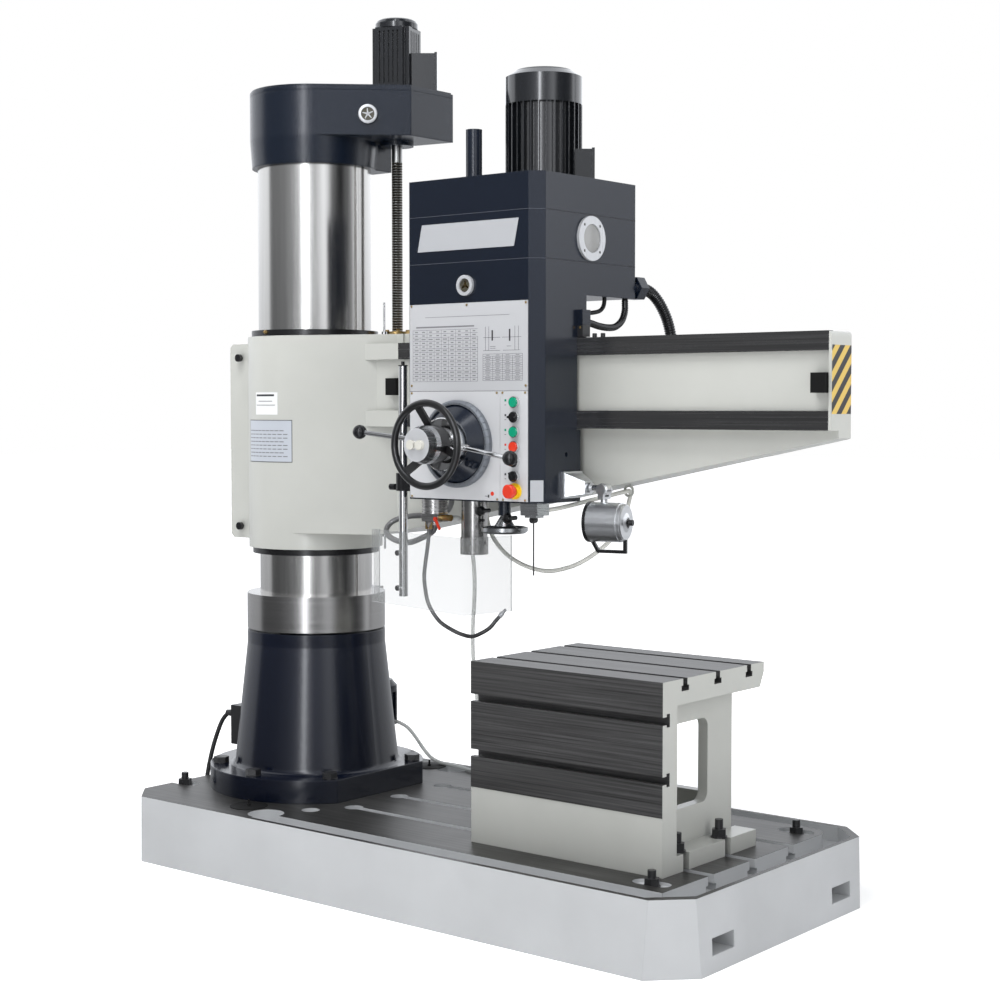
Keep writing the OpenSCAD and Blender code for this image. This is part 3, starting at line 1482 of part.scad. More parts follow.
plug_turn = atan2(tail[4][1] - tail[3][1], tail[4][0] - tail[3][0]);
least_gap = min([
    for (i = [0:3:len(coil_turned) - 1]) for (j = [i + 12:len(coil_turned) - 1])
        norm(coil_turned[i] - coil_turned[j])
]) - cable_d;
function length_of(p) = [for (i = [1:len(p) - 1]) norm(p[i] - p[i - 1])] * [for (i = [1:len(p) - 1]) 1];
echo(coil_gap_mm = least_gap);
echo(cable_length_mm = length_of(smooth(cable_route, 4)) + length_of(coil_line));
module power_cable_coil() {
    color(black) skin([for (f = frames(coil_line)) ring_points(f, cable_d / 2, 6)]);
}
// A five pole plug at the cable's far end
module power_plug() {
    color("#a8302a") translate(coil_end) rotate([0, 0, plug_turn]) {
        rod_x(plug_r - 8, 0, 16);
        rod_x(plug_r - 2, 15, plug_l - 30);
        rod_x(plug_r, plug_l - 34, plug_l - 26);
        difference() {
            rod_x(plug_r - 1, plug_l - 27, plug_l);
            rod_x(plug_r - 4, plug_l - 24, plug_l + 1);
        }
        for (a = [0:72:288]) rotate([a, 0, 0]) translate([0, 9, 0]) rod_x(2.5, plug_l - 26, plug_l - 4);
    }
}

base_plate();
base_bolts();
box_table();
table_tee_bolts();
column_pedestal();
inner_column();
junction_box();
power_cable();
power_cable_coil();
power_plug();
coolant_pump();
coolant_hose();
outer_column();
column_clamp_ring();
cap_housing();
cap_cover();
lift_motor();
lift_screw();
arm_casting();
arm_ways();
wiper_rings();
lift_nut();
electric_cabinet();
travel_buffers();
limit_rod();
head_conduit();
head_housing();
head_gearbox();
head_cover();
front_plates();
main_motor();
head_sights();
depth_dial();
hub_barrel();
coolant_manifold();
head_hoses();
guide_hose();
lamp_bracket();
guard_clamp();
trip_switch();
handwheel();
feed_hub();
quill();
spindle();
fine_wheel();
selector_upper();
selector_middle();
selector_lower();
green_button_upper();
green_button_lower();
red_button();
stop_button();
clamp_button_left();
clamp_button_right();
lamp_arm();
lamp();
guard_post();
guard_sheet();
valve_lever();
trip_rod();
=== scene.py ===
import math

import bpy
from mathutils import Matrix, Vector


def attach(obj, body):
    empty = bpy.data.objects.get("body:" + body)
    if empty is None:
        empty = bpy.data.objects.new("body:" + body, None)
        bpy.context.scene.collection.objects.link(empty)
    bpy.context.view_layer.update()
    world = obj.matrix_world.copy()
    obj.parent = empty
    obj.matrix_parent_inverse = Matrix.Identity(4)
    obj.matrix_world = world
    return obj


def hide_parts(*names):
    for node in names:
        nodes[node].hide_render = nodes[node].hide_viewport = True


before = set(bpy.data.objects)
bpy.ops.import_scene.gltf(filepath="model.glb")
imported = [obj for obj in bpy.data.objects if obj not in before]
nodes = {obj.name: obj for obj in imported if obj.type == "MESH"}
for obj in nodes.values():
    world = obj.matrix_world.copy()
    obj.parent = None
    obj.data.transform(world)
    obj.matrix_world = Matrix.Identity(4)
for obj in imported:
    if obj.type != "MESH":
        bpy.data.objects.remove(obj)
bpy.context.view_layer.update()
print("stage: frame loaded,", len(nodes), "nodes")

# Camera, solved from the photograph's edges
cameraValues = {"place": (4.0562, -4.0884, 1.3832), "pitch": 87.08, "turn": 39.0, "lens": 65.6}


def makeCamera(v):
    data = bpy.data.cameras.new("camera")
    data.lens = v["lens"]
    data.sensor_width = 36
    data.clip_end = 100
    obj = bpy.data.objects.new("camera", data)
    obj.location = v["place"]
    obj.rotation_euler = (math.radians(v["pitch"]), 0, math.radians(v["turn"]))
    bpy.context.scene.collection.objects.link(obj)
    bpy.context.scene.camera = obj


makeCamera(cameraValues)


# Materials, procedural and in metres
def link(tree, a, b):
    tree.links.new(a, b)


def newMaterial(name, colour, rough, metal=0.0, coat=0.0, coatRough=0.1, ior=None, alpha=None,
                specular=None):
    m = bpy.data.materials.new(name)
    m.use_nodes = True
    s = m.node_tree.nodes["Principled BSDF"]
    s.inputs["Base Color"].default_value = (*colour, 1)
    s.inputs["Roughness"].default_value = rough
    s.inputs["Metallic"].default_value = metal
    s.inputs["Coat Weight"].default_value = coat
    s.inputs["Coat Roughness"].default_value = coatRough
    if ior is not None:
        s.inputs["IOR"].default_value = ior
    if alpha is not None:
        s.inputs["Alpha"].default_value = alpha
    if specular is not None:
        s.inputs["Specular IOR Level"].default_value = specular
    m.diffuse_color = (*colour, 1)
    return m


def shaderOf(m):
    return m.node_tree.nodes["Principled BSDF"]


# Shows another shader where the mask is one
def overlay(m, mask, shader):
    t = m.node_tree
    chosen = t.nodes.new("ShaderNodeMixShader")
    link(t, mask, chosen.inputs[0])
    link(t, shaderOf(m).outputs[0], chosen.inputs[1])
    link(t, shader.outputs[0], chosen.inputs[2])
    link(t, chosen.outputs[0], t.nodes["Material Output"].inputs["Surface"])


def objectCoords(m, scale=(1, 1, 1), turn=(0, 0, 0)):
    t = m.node_tree
    c = t.nodes.new("ShaderNodeTexCoord")
    p = t.nodes.new("ShaderNodeMapping")
    p.inputs["Scale"].default_value = scale
    p.inputs["Rotation"].default_value = turn
    link(t, c.outputs["Object"], p.inputs["Vector"])
    return p.outputs["Vector"]


def noise(m, coords, scale, detail=3.0, rough=0.5):
    n = m.node_tree.nodes.new("ShaderNodeTexNoise")
    n.inputs["Scale"].default_value = scale
    n.inputs["Detail"].default_value = detail
    n.inputs["Roughness"].default_value = rough
    link(m.node_tree, coords, n.inputs["Vector"])
    return n.outputs["Fac"]


def ramp(m, value, stops):
    r = m.node_tree.nodes.new("ShaderNodeValToRGB")
    e = r.color_ramp.elements
    while len(e) < len(stops):
        e.new(0.5)
    for k, (at, colour) in enumerate(stops):
        e[k].position = at
        e[k].color = (*colour, 1)
    link(m.node_tree, value, r.inputs["Fac"])
    return r.outputs["Color"]


def bump(m, height, strength, distance, normal=None):
    b = m.node_tree.nodes.new("ShaderNodeBump")
    b.inputs["Strength"].default_value = strength
    b.inputs["Distance"].default_value = distance
    link(m.node_tree, height, b.inputs["Height"])
    if normal is not None:
        link(m.node_tree, normal, b.inputs["Normal"])
    return b.outputs["Normal"]


def softEdge(m, radius):
    b = m.node_tree.nodes.new("ShaderNodeBevel")
    b.samples = 4
    b.inputs["Radius"].default_value = radius
    return b.outputs["Normal"]


def setNormal(m, normal):
    link(m.node_tree, normal, shaderOf(m).inputs["Normal"])


# Paint with a slight orange peel, soft edges and faint unevenness in its colour
def paint(name, colour, rough, edge=0.0025, peel=0.16, uneven=0.05, coat=0.25, cells=140):
    m = newMaterial(name, colour, rough, coat=coat, coatRough=rough * 0.5)
    at = objectCoords(m)
    tone = noise(m, at, 3.0, 4)
    low = tuple(c * (1 - uneven) for c in colour)
    high = tuple(min(1, c * (1 + uneven)) for c in colour)
    link(m.node_tree, ramp(m, tone, [(0.3, low), (0.7, high)]), shaderOf(m).inputs["Base Color"])
    setNormal(m, bump(m, noise(m, at, cells, 2), peel, 0.0006, softEdge(m, edge)))
    return m


# Bare metal with fine lines that run along one axis
def brushed(name, colour, rough, along, metal=1.0, lines=260, depth=0.12, spread=0.25,
            spreadRough=0.1):
    m = newMaterial(name, colour, rough, metal=metal)
    stretch = [lines, lines, lines]
    for k in along:
        stretch[k] = 2.5
    streak = noise(m, objectCoords(m, stretch), 1.0, 5, 0.6)
    low = tuple(c * (1 - spread) for c in colour)
    high = tuple(min(1, c * (1 + spread)) for c in colour)
    s = shaderOf(m)
    link(m.node_tree, ramp(m, streak, [(0.3, low), (0.7, high)]), s.inputs["Base Color"])
    r0 = max(0.03, rough - spreadRough)
    r1 = min(1, rough + spreadRough)
    link(m.node_tree, ramp(m, streak, [(0.3, (r0,) * 3), (0.7, (r1,) * 3)]), s.inputs["Roughness"])
    setNormal(m, bump(m, streak, depth, 0.0004, softEdge(m, 0.001)))
    return m


palePaint = paint("palePaint", (0.455, 0.46, 0.432), 0.30)
basePaint = paint("basePaint", (0.485, 0.495, 0.505), 0.38, edge=0.004, peel=0.3, uneven=0.07, cells=90)
darkPaint = paint("darkPaint", (0.0036, 0.0068, 0.0150), 0.24, edge=0.003, peel=0.30, coat=0.15)
pedestalPaint = paint("pedestalPaint", (0.0025, 0.0045, 0.0125), 0.20, edge=0.004, peel=0.30, coat=0.15,
                      cells=60)
capPaint = paint("capPaint", (0.0038, 0.0072, 0.0150), 0.22, edge=0.006, peel=0.85, coat=0.15, cells=230)
motorPaint = paint("motorPaint", (0.006, 0.007, 0.009), 0.18, peel=0.1, coat=0.8)
blackPlastic = paint("blackPlastic", (0.008, 0.008, 0.009), 0.26, edge=0.001, peel=0.05, coat=0.1)
satinBlack = paint("satinBlack", (0.014, 0.014, 0.015), 0.45, edge=0.001, peel=0.2)
columnSteel = brushed("columnSteel", (0.60, 0.59, 0.57), 0.20, (2,), lines=60, depth=0.02, spread=0.06,
                      spreadRough=0.05)
ringSteel = brushed("ringSteel", (0.46, 0.45, 0.44), 0.22, (0, 1), lines=220, depth=0.015, spread=0.04,
                    spreadRough=0.03)
plainSteel = brushed("plainSteel", (0.55, 0.54, 0.53), 0.28, (0, 1), lines=300, depth=0.05, spread=0.1)
planedIron = brushed("planedIron", (0.14, 0.138, 0.137), 0.44, (0,), metal=0.8, lines=240, depth=0.4,
                     spread=0.35)
wayIron = brushed("wayIron", (0.27, 0.265, 0.262), 0.24, (0,), lines=240, depth=0.05, spread=0.22,
                  spreadRough=0.08)
dialSteel = brushed("dialSteel", (0.20, 0.215, 0.24), 0.48, (0, 2), metal=0.5, lines=200, depth=0.05,
                    spread=0.08)
satinSteel = brushed("satinSteel", (0.52, 0.53, 0.54), 0.26, (0, 1), lines=160, depth=0.02, spread=0.05,
                     spreadRough=0.04)
brightAlu = brushed("brightAluminium", (0.60, 0.61, 0.63), 0.36, (0, 2), metal=0.45, lines=200, depth=0.03,
                    spread=0.06)
braid = paint("braid", (0.30, 0.30, 0.305), 0.34, edge=0.0, peel=0.8, uneven=0.9, coat=0, cells=700)
shaderOf(braid).inputs["Metallic"].default_value = 0.6
wheelBlack = paint("wheelBlack", (0.010, 0.010, 0.0105), 0.30, edge=0.001, peel=0.04, coat=0.5)
chrome = brushed("chromePlate", (0.74, 0.74, 0.74), 0.10, (2,), lines=90, depth=0.01, spread=0.04,
                 spreadRough=0.03)
lampAluminium = brushed("lampAluminium", (0.86, 0.87, 0.88), 0.36, (0, 1), lines=120, depth=0.03,
                        spread=0.06)
aluminium = brushed("aluminium", (0.72, 0.73, 0.74), 0.30, (0, 1), lines=200, depth=0.05, spread=0.08)
brassMetal = brushed("brassMetal", (0.55, 0.38, 0.16), 0.32, (2,), lines=90, depth=0.05)
plateSheet = paint("plateSheet", (0.415, 0.42, 0.435), 0.4, edge=0.0005, peel=0.02, uneven=0.02, coat=0)
plateLight = paint("plateLight", (0.50, 0.505, 0.52), 0.4, edge=0.0005, peel=0.02, uneven=0.02, coat=0)
greenPlastic = paint("greenPlastic", (0.0, 0.28, 0.15), 0.25, edge=0.001, peel=0.02)
redPlastic = paint("redPlastic", (0.62, 0.035, 0.012), 0.25, edge=0.001, peel=0.02)
ivoryPlastic = paint("ivoryPlastic", (0.56, 0.55, 0.50), 0.3, edge=0.001, peel=0.02)
yellowPlastic = paint("yellowPlastic", (0.80, 0.52, 0.01), 0.3, edge=0.001, peel=0.02)
rubber = paint("rubber", (0.009, 0.009, 0.009), 0.6, edge=0.001, peel=0.2, coat=0)
shaderOf(rubber).inputs["Specular IOR Level"].default_value = 0.12
cableSkin = paint("cableSkin", (0.016, 0.016, 0.017), 0.5, edge=0.0, peel=0.1, coat=0)
paleHose = paint("paleHose", (0.62, 0.62, 0.58), 0.4, edge=0.0, peel=0.05, coat=0.1)
hiddenMetal = brushed("hiddenMetal", (0.40, 0.40, 0.40), 0.4, (2,), lines=90, depth=0.05)
ink = newMaterial("ink", (0.03, 0.03, 0.035), 0.6)
greyInk = newMaterial("greyInk", (0.16, 0.16, 0.17), 0.6)
seamGrey = newMaterial("seamGrey", (0.05, 0.055, 0.07), 0.5)
silverSheet = newMaterial("silverSheet", (0.50, 0.53, 0.58), 0.38, metal=0.2)
frosted = newMaterial("frosted", (0.26, 0.26, 0.255), 0.18, coat=0.8, coatRough=0.04)
clearSheet = newMaterial("clearSheet", (0.30, 0.31, 0.31), 0.06, ior=1.2, alpha=0.22)
sheetEdge = newMaterial("sheetEdge", (0.42, 0.44, 0.44), 0.2, alpha=0.85)
clearHose = newMaterial("clearHose", (0.78, 0.80, 0.78), 0.22, coat=0.3, alpha=0.72)
lens = newMaterial("lens", (0.9, 0.92, 0.92), 0.05, coat=0.6)
oilGlass = newMaterial("oilGlass", (0.05, 0.045, 0.03), 0.05, coat=1.0, coatRough=0.03)
paperWhite = newMaterial("paperWhite", (0.70, 0.71, 0.71), 0.4)
plateSilver = newMaterial("plateSilver", (0.44, 0.45, 0.47), 0.40, metal=0.25)


# The scale of a wave texture whose bands are one metre apart
waveShare = 0.314


# One where a coordinate lies between two limits
def between(m, axis, low, high):
    t = m.node_tree
    place = t.nodes.new("ShaderNodeTexCoord")
    parts = t.nodes.new("ShaderNodeSeparateXYZ")
    link(t, place.outputs["Object"], parts.inputs["Vector"])
    n = t.nodes.new("ShaderNodeMath")
    n.operation = "COMPARE"
    link(t, parts.outputs[axis], n.inputs[0])
    n.inputs[1].default_value = (low + high) / 2
    n.inputs[2].default_value = (high - low) / 2
    return n.outputs[0]


def product(m, values):
    result = values[0]
    for v in values[1:]:
        n = m.node_tree.nodes.new("ShaderNodeMath")
        n.operation = "MULTIPLY"
        link(m.node_tree, result, n.inputs[0])
        link(m.node_tree, v, n.inputs[1])
        result = n.outputs[0]
    return result


# The base: painted cast iron, but its top face is ground
def makeBaseMaterial(v):
    m = basePaint.copy()
    m.name = "baseFinish"
    t = m.node_tree
    iron = t.nodes.new("ShaderNodeBsdfPrincipled")
    iron.inputs["Roughness"].default_value = 0.40
    iron.inputs["Metallic"].default_value = 0.7
    streak = noise(m, objectCoords(m, (2.5, 150, 150)), 1.0, 5, 0.6)
    stain = noise(m, objectCoords(m), 5.0, 5, 0.6)
    mixed = t.nodes.new("ShaderNodeMix")
    mixed.data_type = "RGBA"
    mixed.blend_type = "MULTIPLY"
    mixed.inputs["Factor"].default_value = 0.75
    link(t, ramp(m, streak, [(0.3, v["dark"]), (0.7, v["bright"])]), mixed.inputs["A"])
    link(t, ramp(m, stain, [(0.35, v["stained"]), (0.62, (1, 1, 1))]), mixed.inputs["B"])
    link(t, mixed.outputs["Result"], iron.inputs["Base Color"])
    link(t, bump(m, streak, 0.25, 0.0004), iron.inputs["Normal"])
    overlay(m, between(m, "Z", *v["ground"]), iron)
    return m


# Ribbed look along an axis for a screw thread, with a plain journal between two heights
def threaded(name, colour, pitch, plain, plainColour):
    m = newMaterial(name, colour, 0.3, metal=1.0)
    wave = m.node_tree.nodes.new("ShaderNodeTexWave")
    wave.wave_type = "BANDS"
    wave.bands_direction = "Z"
    wave.inputs["Scale"].default_value = waveShare / pitch
    link(m.node_tree, objectCoords(m), wave.inputs["Vector"])
    dark = tuple(c * 0.25 for c in colour)
    smooth = m.node_tree.nodes.new("ShaderNodeMath")
    smooth.operation = "MAXIMUM"
    link(m.node_tree, wave.outputs["Fac"], smooth.inputs[0])
    link(m.node_tree, between(m, "Z", *plain), smooth.inputs[1])
    link(m.node_tree, ramp(m, smooth.outputs[0], [(0.2, dark), (0.6, colour), (1.0, plainColour)]),
         shaderOf(m).inputs["Base Color"])
    setNormal(m, bump(m, smooth.outputs[0], 1.0, 0.004))
    return m


# The arm's paint, with yellow and black bars on its end face
def makeArmMaterial(v):
    m = palePaint.copy()
    m.name = "armFinish"
    t = m.node_tree
    wave = t.nodes.new("ShaderNodeTexWave")
    wave.wave_type = "BANDS"
    wave.bands_direction = "Z"
    wave.inputs["Scale"].default_value = waveShare / v["bar"]
    link(t, objectCoords(m, turn=(math.radians(v["turn"]), 0, 0)), wave.inputs["Vector"])
    bars = t.nodes.new("ShaderNodeBsdfPrincipled")
    bars.inputs["Roughness"].default_value = 0.4
    link(t, ramp(m, wave.outputs["Fac"], [(0.49, v["dark"]), (0.51, v["bright"])]),
         bars.inputs["Base Color"])
    mask = product(m, [between(m, "X", v["x"] - 0.0004, v["x"] + 0.001), between(m, "Y", *v["y"]),
                       between(m, "Z", *v["z"])])
    overlay(m, mask, bars)
    return m


baseFinish = makeBaseMaterial({
    "ground": (0.1965, 0.2), "dark": (0.045, 0.044, 0.042), "bright": (0.105, 0.104, 0.10),
    "stained": (0.55, 0.55, 0.55),
})
screwMetal = threaded("screwMetal", (0.30, 0.27, 0.22), 0.008, (2.142, 2.30),
                      (0.42, 0.42, 0.41))
armFinish = makeArmMaterial({
    "bar": 0.036, "turn": -45, "dark": (0.028, 0.028, 0.03), "bright": (0.62, 0.43, 0.10),
    "x": 1.871, "y": (-0.0965, 0.0145), "z": (1.366, 1.5365),
})
print("stage: materials made")

looks = {
    "base_plate": baseFinish, "base_bolts": satinBlack, "box_table": palePaint,
    "table_tee_bolts": satinBlack, "column_pedestal": pedestalPaint, "inner_column": hiddenMetal,
    "junction_box": satinBlack, "power_cable": cableSkin, "power_cable_coil": cableSkin,
    "power_plug": redPlastic, "coolant_pump": darkPaint, "coolant_hose": clearHose,
    "outer_column": columnSteel, "column_clamp_ring": ringSteel, "cap_housing": capPaint,
    "cap_cover": capPaint, "lift_motor": motorPaint, "lift_screw": screwMetal,
    "arm_casting": armFinish, "arm_ways": wayIron, "wiper_rings": blackPlastic, "lift_nut": brassMetal,
    "electric_cabinet": palePaint, "travel_buffers": rubber, "limit_rod": chrome,
    "head_conduit": blackPlastic, "head_housing": darkPaint, "head_gearbox": darkPaint,
    "head_cover": darkPaint, "front_plates": plateSheet, "main_motor": motorPaint,
    "head_sights": brightAlu, "depth_dial": dialSteel, "hub_barrel": brightAlu,
    "coolant_manifold": plainSteel, "head_hoses": plainSteel, "guide_hose": paleHose,
    "lamp_bracket": lampAluminium, "guard_clamp": blackPlastic, "trip_switch": aluminium,
    "handwheel": wheelBlack, "feed_hub": chrome, "quill": ringSteel, "spindle": ringSteel,
    "fine_wheel": satinSteel, "selector_upper": blackPlastic, "selector_middle": blackPlastic,
    "selector_lower": blackPlastic, "green_button_upper": greenPlastic,
    "green_button_lower": greenPlastic, "red_button": redPlastic, "stop_button": redPlastic,
    "clamp_button_left": ivoryPlastic, "clamp_button_right": ivoryPlastic, "lamp_arm": chrome,
    "lamp": lampAluminium, "guard_post": chrome, "guard_sheet": clearSheet, "valve_lever": redPlastic,
    "trip_rod": satinBlack,
}


def shadeSmooth(obj, degrees):
    mesh = obj.data
    for p in mesh.polygons:
        p.use_smooth = True
    mesh.set_sharp_from_angle(angle=math.radians(degrees))


def dress(node, first, *others):
    obj = nodes[node]
    obj.data.materials.clear()
    for m in (first, *others):
        obj.data.materials.append(m)
    for p in obj.data.polygons:
        p.material_index = 0


for name, m in looks.items():
    dress(name, m)


# Faces of one node that have another finish
def repaint(node, materials, choose):
    dress(node, looks[node], *materials)
    mesh = nodes[node].data
    for p in mesh.polygons:
        p.material_index = choose(p.center, p.normal)


# The table's planed front and top, and the walls of their slots
def tableFace(c, n):
    front = n.y < -0.9 and c.y < -0.3105
    top = n.z > 0.9 and c.z > 0.6935
    slot = 0.896 < c.x < 1.521 and ((c.y < -0.278 and 0.42 < c.z < 0.62) or c.z > 0.661)
    return 1 if front or top or slot else 0


repaint("box_table", [planedIron], tableFace)
panelValues = {"x": 1.020, "lowest": 1.158, "step": 0.0397, "rows": 7, "split": 1.4265}
buttonRows = [panelValues["lowest"] + panelValues["step"] * k for k in range(panelValues["rows"])]
panelX = panelValues["x"]


# The button plates are lighter than the table plate above them, and their bezels are chrome
def bezelFace(c, n):
    if c.y > -0.2745:
        return 3 if c.z < panelValues["split"] else 0
    for row, z in enumerate(buttonRows):
        if math.hypot(c.x - panelX, c.z - z) < (0.0226 if row == 0 else 0.0160):
            return 2 if row == 0 else 1
    return 0


repaint("front_plates", [chrome, yellowPlastic, plateLight], bezelFace)
hubAxis = (0.820, 1.282)


# Black balls at the levers' ends, dark paint inside the dial's ring
def hubFace(c, n):
    away = math.hypot(c.x - hubAxis[0], c.z - hubAxis[1])
    if away > 0.2500:
        return 1
    if c.y > -0.3228 and away < 0.108:
        return 2
    return 2 if 0.0765 < away < 0.108 and c.y > -0.3305 else 0


repaint("feed_hub", [blackPlastic, darkPaint], hubFace)
repaint("hub_barrel", [satinSteel], lambda c, n: 0 if n.y < -0.9 and c.y < -0.445 else 1)
repaint("electric_cabinet", [blackPlastic], lambda c, n: 1 if c.y < -0.0802 else 0)
repaint("guard_sheet", [sheetEdge],
        lambda c, n: 1 if abs(n.z) > 0.9 or n.y > 0.9 and (c.x < 0.47 or c.x > 0.9) else 0)
repaint("guard_post", [blackPlastic], lambda c, n: 1 if c.z > 1.4985 else 0)
lampValues = {"pivot": (1.202, -0.120), "turn": 13.0, "axis": 1.075, "radius": 0.053}


# The lamp's knob, rim and handle are black, and its mouth has the lens
def lampFace(c, n):
    v = lampValues
    x, y = c.x - v["pivot"][0], c.y - v["pivot"][1]
    a = math.radians(v["turn"])
    along = x * math.cos(a) + y * math.sin(a)
    away = math.hypot(y * math.cos(a) - x * math.sin(a), c.z - v["axis"])
    if along > 0.0655 and away < 0.0145 or c.z < v["axis"] - v["radius"] - 0.003 and away > 0.056:
        return 1
    if along < -0.034 and away > v["radius"] + 0.0005 or along < -0.0425 and away > 0.048:
        return 1
    return 2 if along < -0.001 and away < v["radius"] - 0.004 and c.z < 1.125 else 0


repaint("lamp", [blackPlastic, lens], lampFace)
repaint("arm_casting", [columnSteel], lambda c, n: 1 if math.hypot(c.x, c.y) < 0.1745 else 0)
repaint("coolant_manifold", [brassMetal],
        lambda c, n: 1 if c.z < 1.0535 and c.y < -0.219 or c.x > 0.7265 and c.z < 1.088 else 0)
print("stage: frame dressed")


# Builders for small pieces
def piece(name, verts, faces, body, materials, smooth=None, index=None):
    mesh = bpy.data.meshes.new(name)
    mesh.from_pydata([tuple(v) for v in verts], [], faces)
    mesh.validate()
    obj = bpy.data.objects.new(name, mesh)
    bpy.context.scene.collection.objects.link(obj)
    for m in materials:
        mesh.materials.append(m)
    if index:
        for p, k in zip(mesh.polygons, index):
            p.material_index = k
    if smooth:
        shadeSmooth(obj, smooth)
    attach(obj, body)
    return obj


slabFaces = [(0, 1, 2, 3), (7, 6, 5, 4), (0, 4, 5, 1), (1, 5, 6, 2), (2, 6, 7, 3), (3, 7, 4, 0)]


class Shape:
    def __init__(self):
        self.verts = []
        self.faces = []
        self.index = []

    def add(self, verts, faces, k=0):
        start = len(self.verts)
        self.verts += [Vector(v) for v in verts]
        self.faces += [[i + start for i in f] for f in faces]
        self.index += [k] * len(faces)

    def block(self, lo, hi, k=0):
        (a, b, c), (d, e, f) = lo, hi
        v = [(a, b, c), (d, b, c), (d, e, c), (a, e, c), (a, b, f), (d, b, f), (d, e, f), (a, e, f)]
        self.add(v, [(0, 3, 2, 1), (4, 5, 6, 7), (0, 1, 5, 4), (1, 2, 6, 5), (2, 3, 7, 6), (3, 0, 4, 7)], k)

    # Four corners, set out twice: at the near and at the far offset
    def slab(self, corners, near, far, k=0):
        self.add([c + Vector(near) for c in corners] + [c + Vector(far) for c in corners], slabFaces, k)

    # A turned shape: (radius, height) pairs round an axis through a point
    def turned(self, at, axis, profile, sides, k=0):
        z = Vector(axis).normalized()
        x = z.orthogonal().normalized()
        y = z.cross(x)
        at = Vector(at)
        v = []
        for r, h in profile:
            for i in range(sides):
                a = 2 * math.pi * i / sides
                v.append(at + z * h + (x * math.cos(a) + y * math.sin(a)) * r)
        f = []
        for j in range(len(profile) - 1):
            for i in range(sides):
                n = (i + 1) % sides
                f.append((j * sides + i, j * sides + n, (j + 1) * sides + n, (j + 1) * sides + i))
        f.append(tuple(reversed(range(sides))))
        last = (len(profile) - 1) * sides
        f.append(tuple(last + i for i in range(sides)))
        self.add(v, f, k)

    def make(self, name, body, materials, smooth=None):
        return piece(name, self.verts, self.faces, body, materials, smooth, self.index)


def socketScrew(shape, at, axis, r, k, recess):
    shape.turned(at, axis, [(r, 0), (r, r * 0.5), (r * 0.85, r * 0.62)], 20, k)
    top = Vector(at) + Vector(axis).normalized() * r * 0.62
    shape.turned(top, axis, [(r * 0.5, 0), (r * 0.5, 0.0001)], 6, recess)


# Cords
def smoothLine(points, steps):
    p = [Vector(q) for q in points]
    line = []
    for i in range(len(p) - 1):
        b, c = p[i], p[i + 1]
        a = 2 * b - c if i == len(p) - 2 else p[max(i - 1, 0)]
        d = 2 * c - b if i == 0 else p[min(i + 2, len(p) - 1)]
        for s in range(steps):
            t = s / steps
            line.append(0.5 * (2 * b + (c - a) * t + (2 * a - 5 * b + 4 * c - d) * t * t
                               + (3 * b - a - 3 * c + d) * t ** 3))
    return line + [p[-1]]


def lengthOf(line):
    return sum((b - a).length for a, b in zip(line, line[1:]))


def even(line, gap):
    total = lengthOf(line)
    count = max(2, round(total / gap))
    out = [line[0].copy()]
    k, done = 0, 0.0
    for i in range(1, count):
        want = total * i / count
        while done + (line[k + 1] - line[k]).length < want:
            done += (line[k + 1] - line[k]).length
            k += 1
        step = (line[k + 1] - line[k]).length
        out.append(line[k].lerp(line[k + 1], (want - done) / step))
    return out + [line[-1].copy()]


def tube(name, line, radius, material, body, sides=14):
    radii = radius if callable(radius) else (lambda i, n: radius)
    n = len(line)
    verts, faces = [], []
    t = (line[1] - line[0]).normalized()
    side = t.orthogonal().normalized()
    for i, at in enumerate(line):
        t = (line[min(i + 1, n - 1)] - line[max(i - 1, 0)]).normalized()
        side = (side - t * side.dot(t)).normalized()
        up = t.cross(side)
        r = radii(i, n)
        for k in range(sides):
            a = 2 * math.pi * k / sides
            verts.append(at + (side * math.cos(a) + up * math.sin(a)) * r)
    for i in range(n - 1):
        for k in range(sides):
            m = (k + 1) % sides
            faces.append((i * sides + k, i * sides + m, (i + 1) * sides + m, (i + 1) * sides + k))
    faces.append(tuple(reversed(range(sides))))
    faces.append(tuple((n - 1) * sides + k for k in range(sides)))
    return piece(name, verts, faces, body, [material], smooth=60)


def mm(points):
    return [(x / 1000, y / 1000, z / 1000) for x, y, z in points]


cableValues = {
    "diameter": 0.014,
    "route": mm([
        (-293, -85, 395), (-306, -85, 395), (-320, -87, 391), (-338, -94, 368), (-350, -106, 325),
        (-359, -120, 270), (-366, -132, 205), (-372, -138, 140), (-379, -134, 80), (-388, -116, 34),
        (-398, -80, 11), (-405, -30, 7), (-410, 50, 7), (-411, 140, 7), (-406, 235, 7),
        (-392, 330, 7), (-364, 420, 7), (-318, 500, 7), (-256, 562, 7), (-190, 594, 7),
        (-140, 603, 7), (-118, 603, 7), (-100, 603, 7)]),
    "coilCentre": (-0.100, 0.700), "coilOut": 0.097, "pitch": 0.0165, "layer": 0.015, "turns": 2,
    "tail": [(-0.120, 0), (-0.138, 0.003), (-0.154, 0.009), (-0.168, 0.018), (-0.180, 0.028)],
    "relief": [(0.0115, 0), (0.0115, 0.006), (0.0092, 0.03), (0.0078, 0.03)],
}


def coilLine(v, steps=48):
    n = v["turns"]
    cx, cy = v["coilCentre"]
    line = []
    for i in range(int(steps * (2 * n + 0.5)) + 1):
        u = i / steps
        r = v["coilOut"] - v["pitch"] * (u if u <= n else n if u < n + 0.5 else 2 * n + 0.5 - u)
        rise = 0 if u <= n else 1 if u >= n + 0.5 else (1 - math.cos(2 * math.pi * (u - n))) / 2
        line.append(Vector((cx + r * math.sin(2 * math.pi * u), cy - r * math.cos(2 * math.pi * u),
                            v["diameter"] / 2 + rise * v["layer"])))
    for x, y in v["tail"]:
        line.append(Vector((x, cy + v["coilOut"] + y, v["diameter"] / 2 + v["layer"])))
    return line


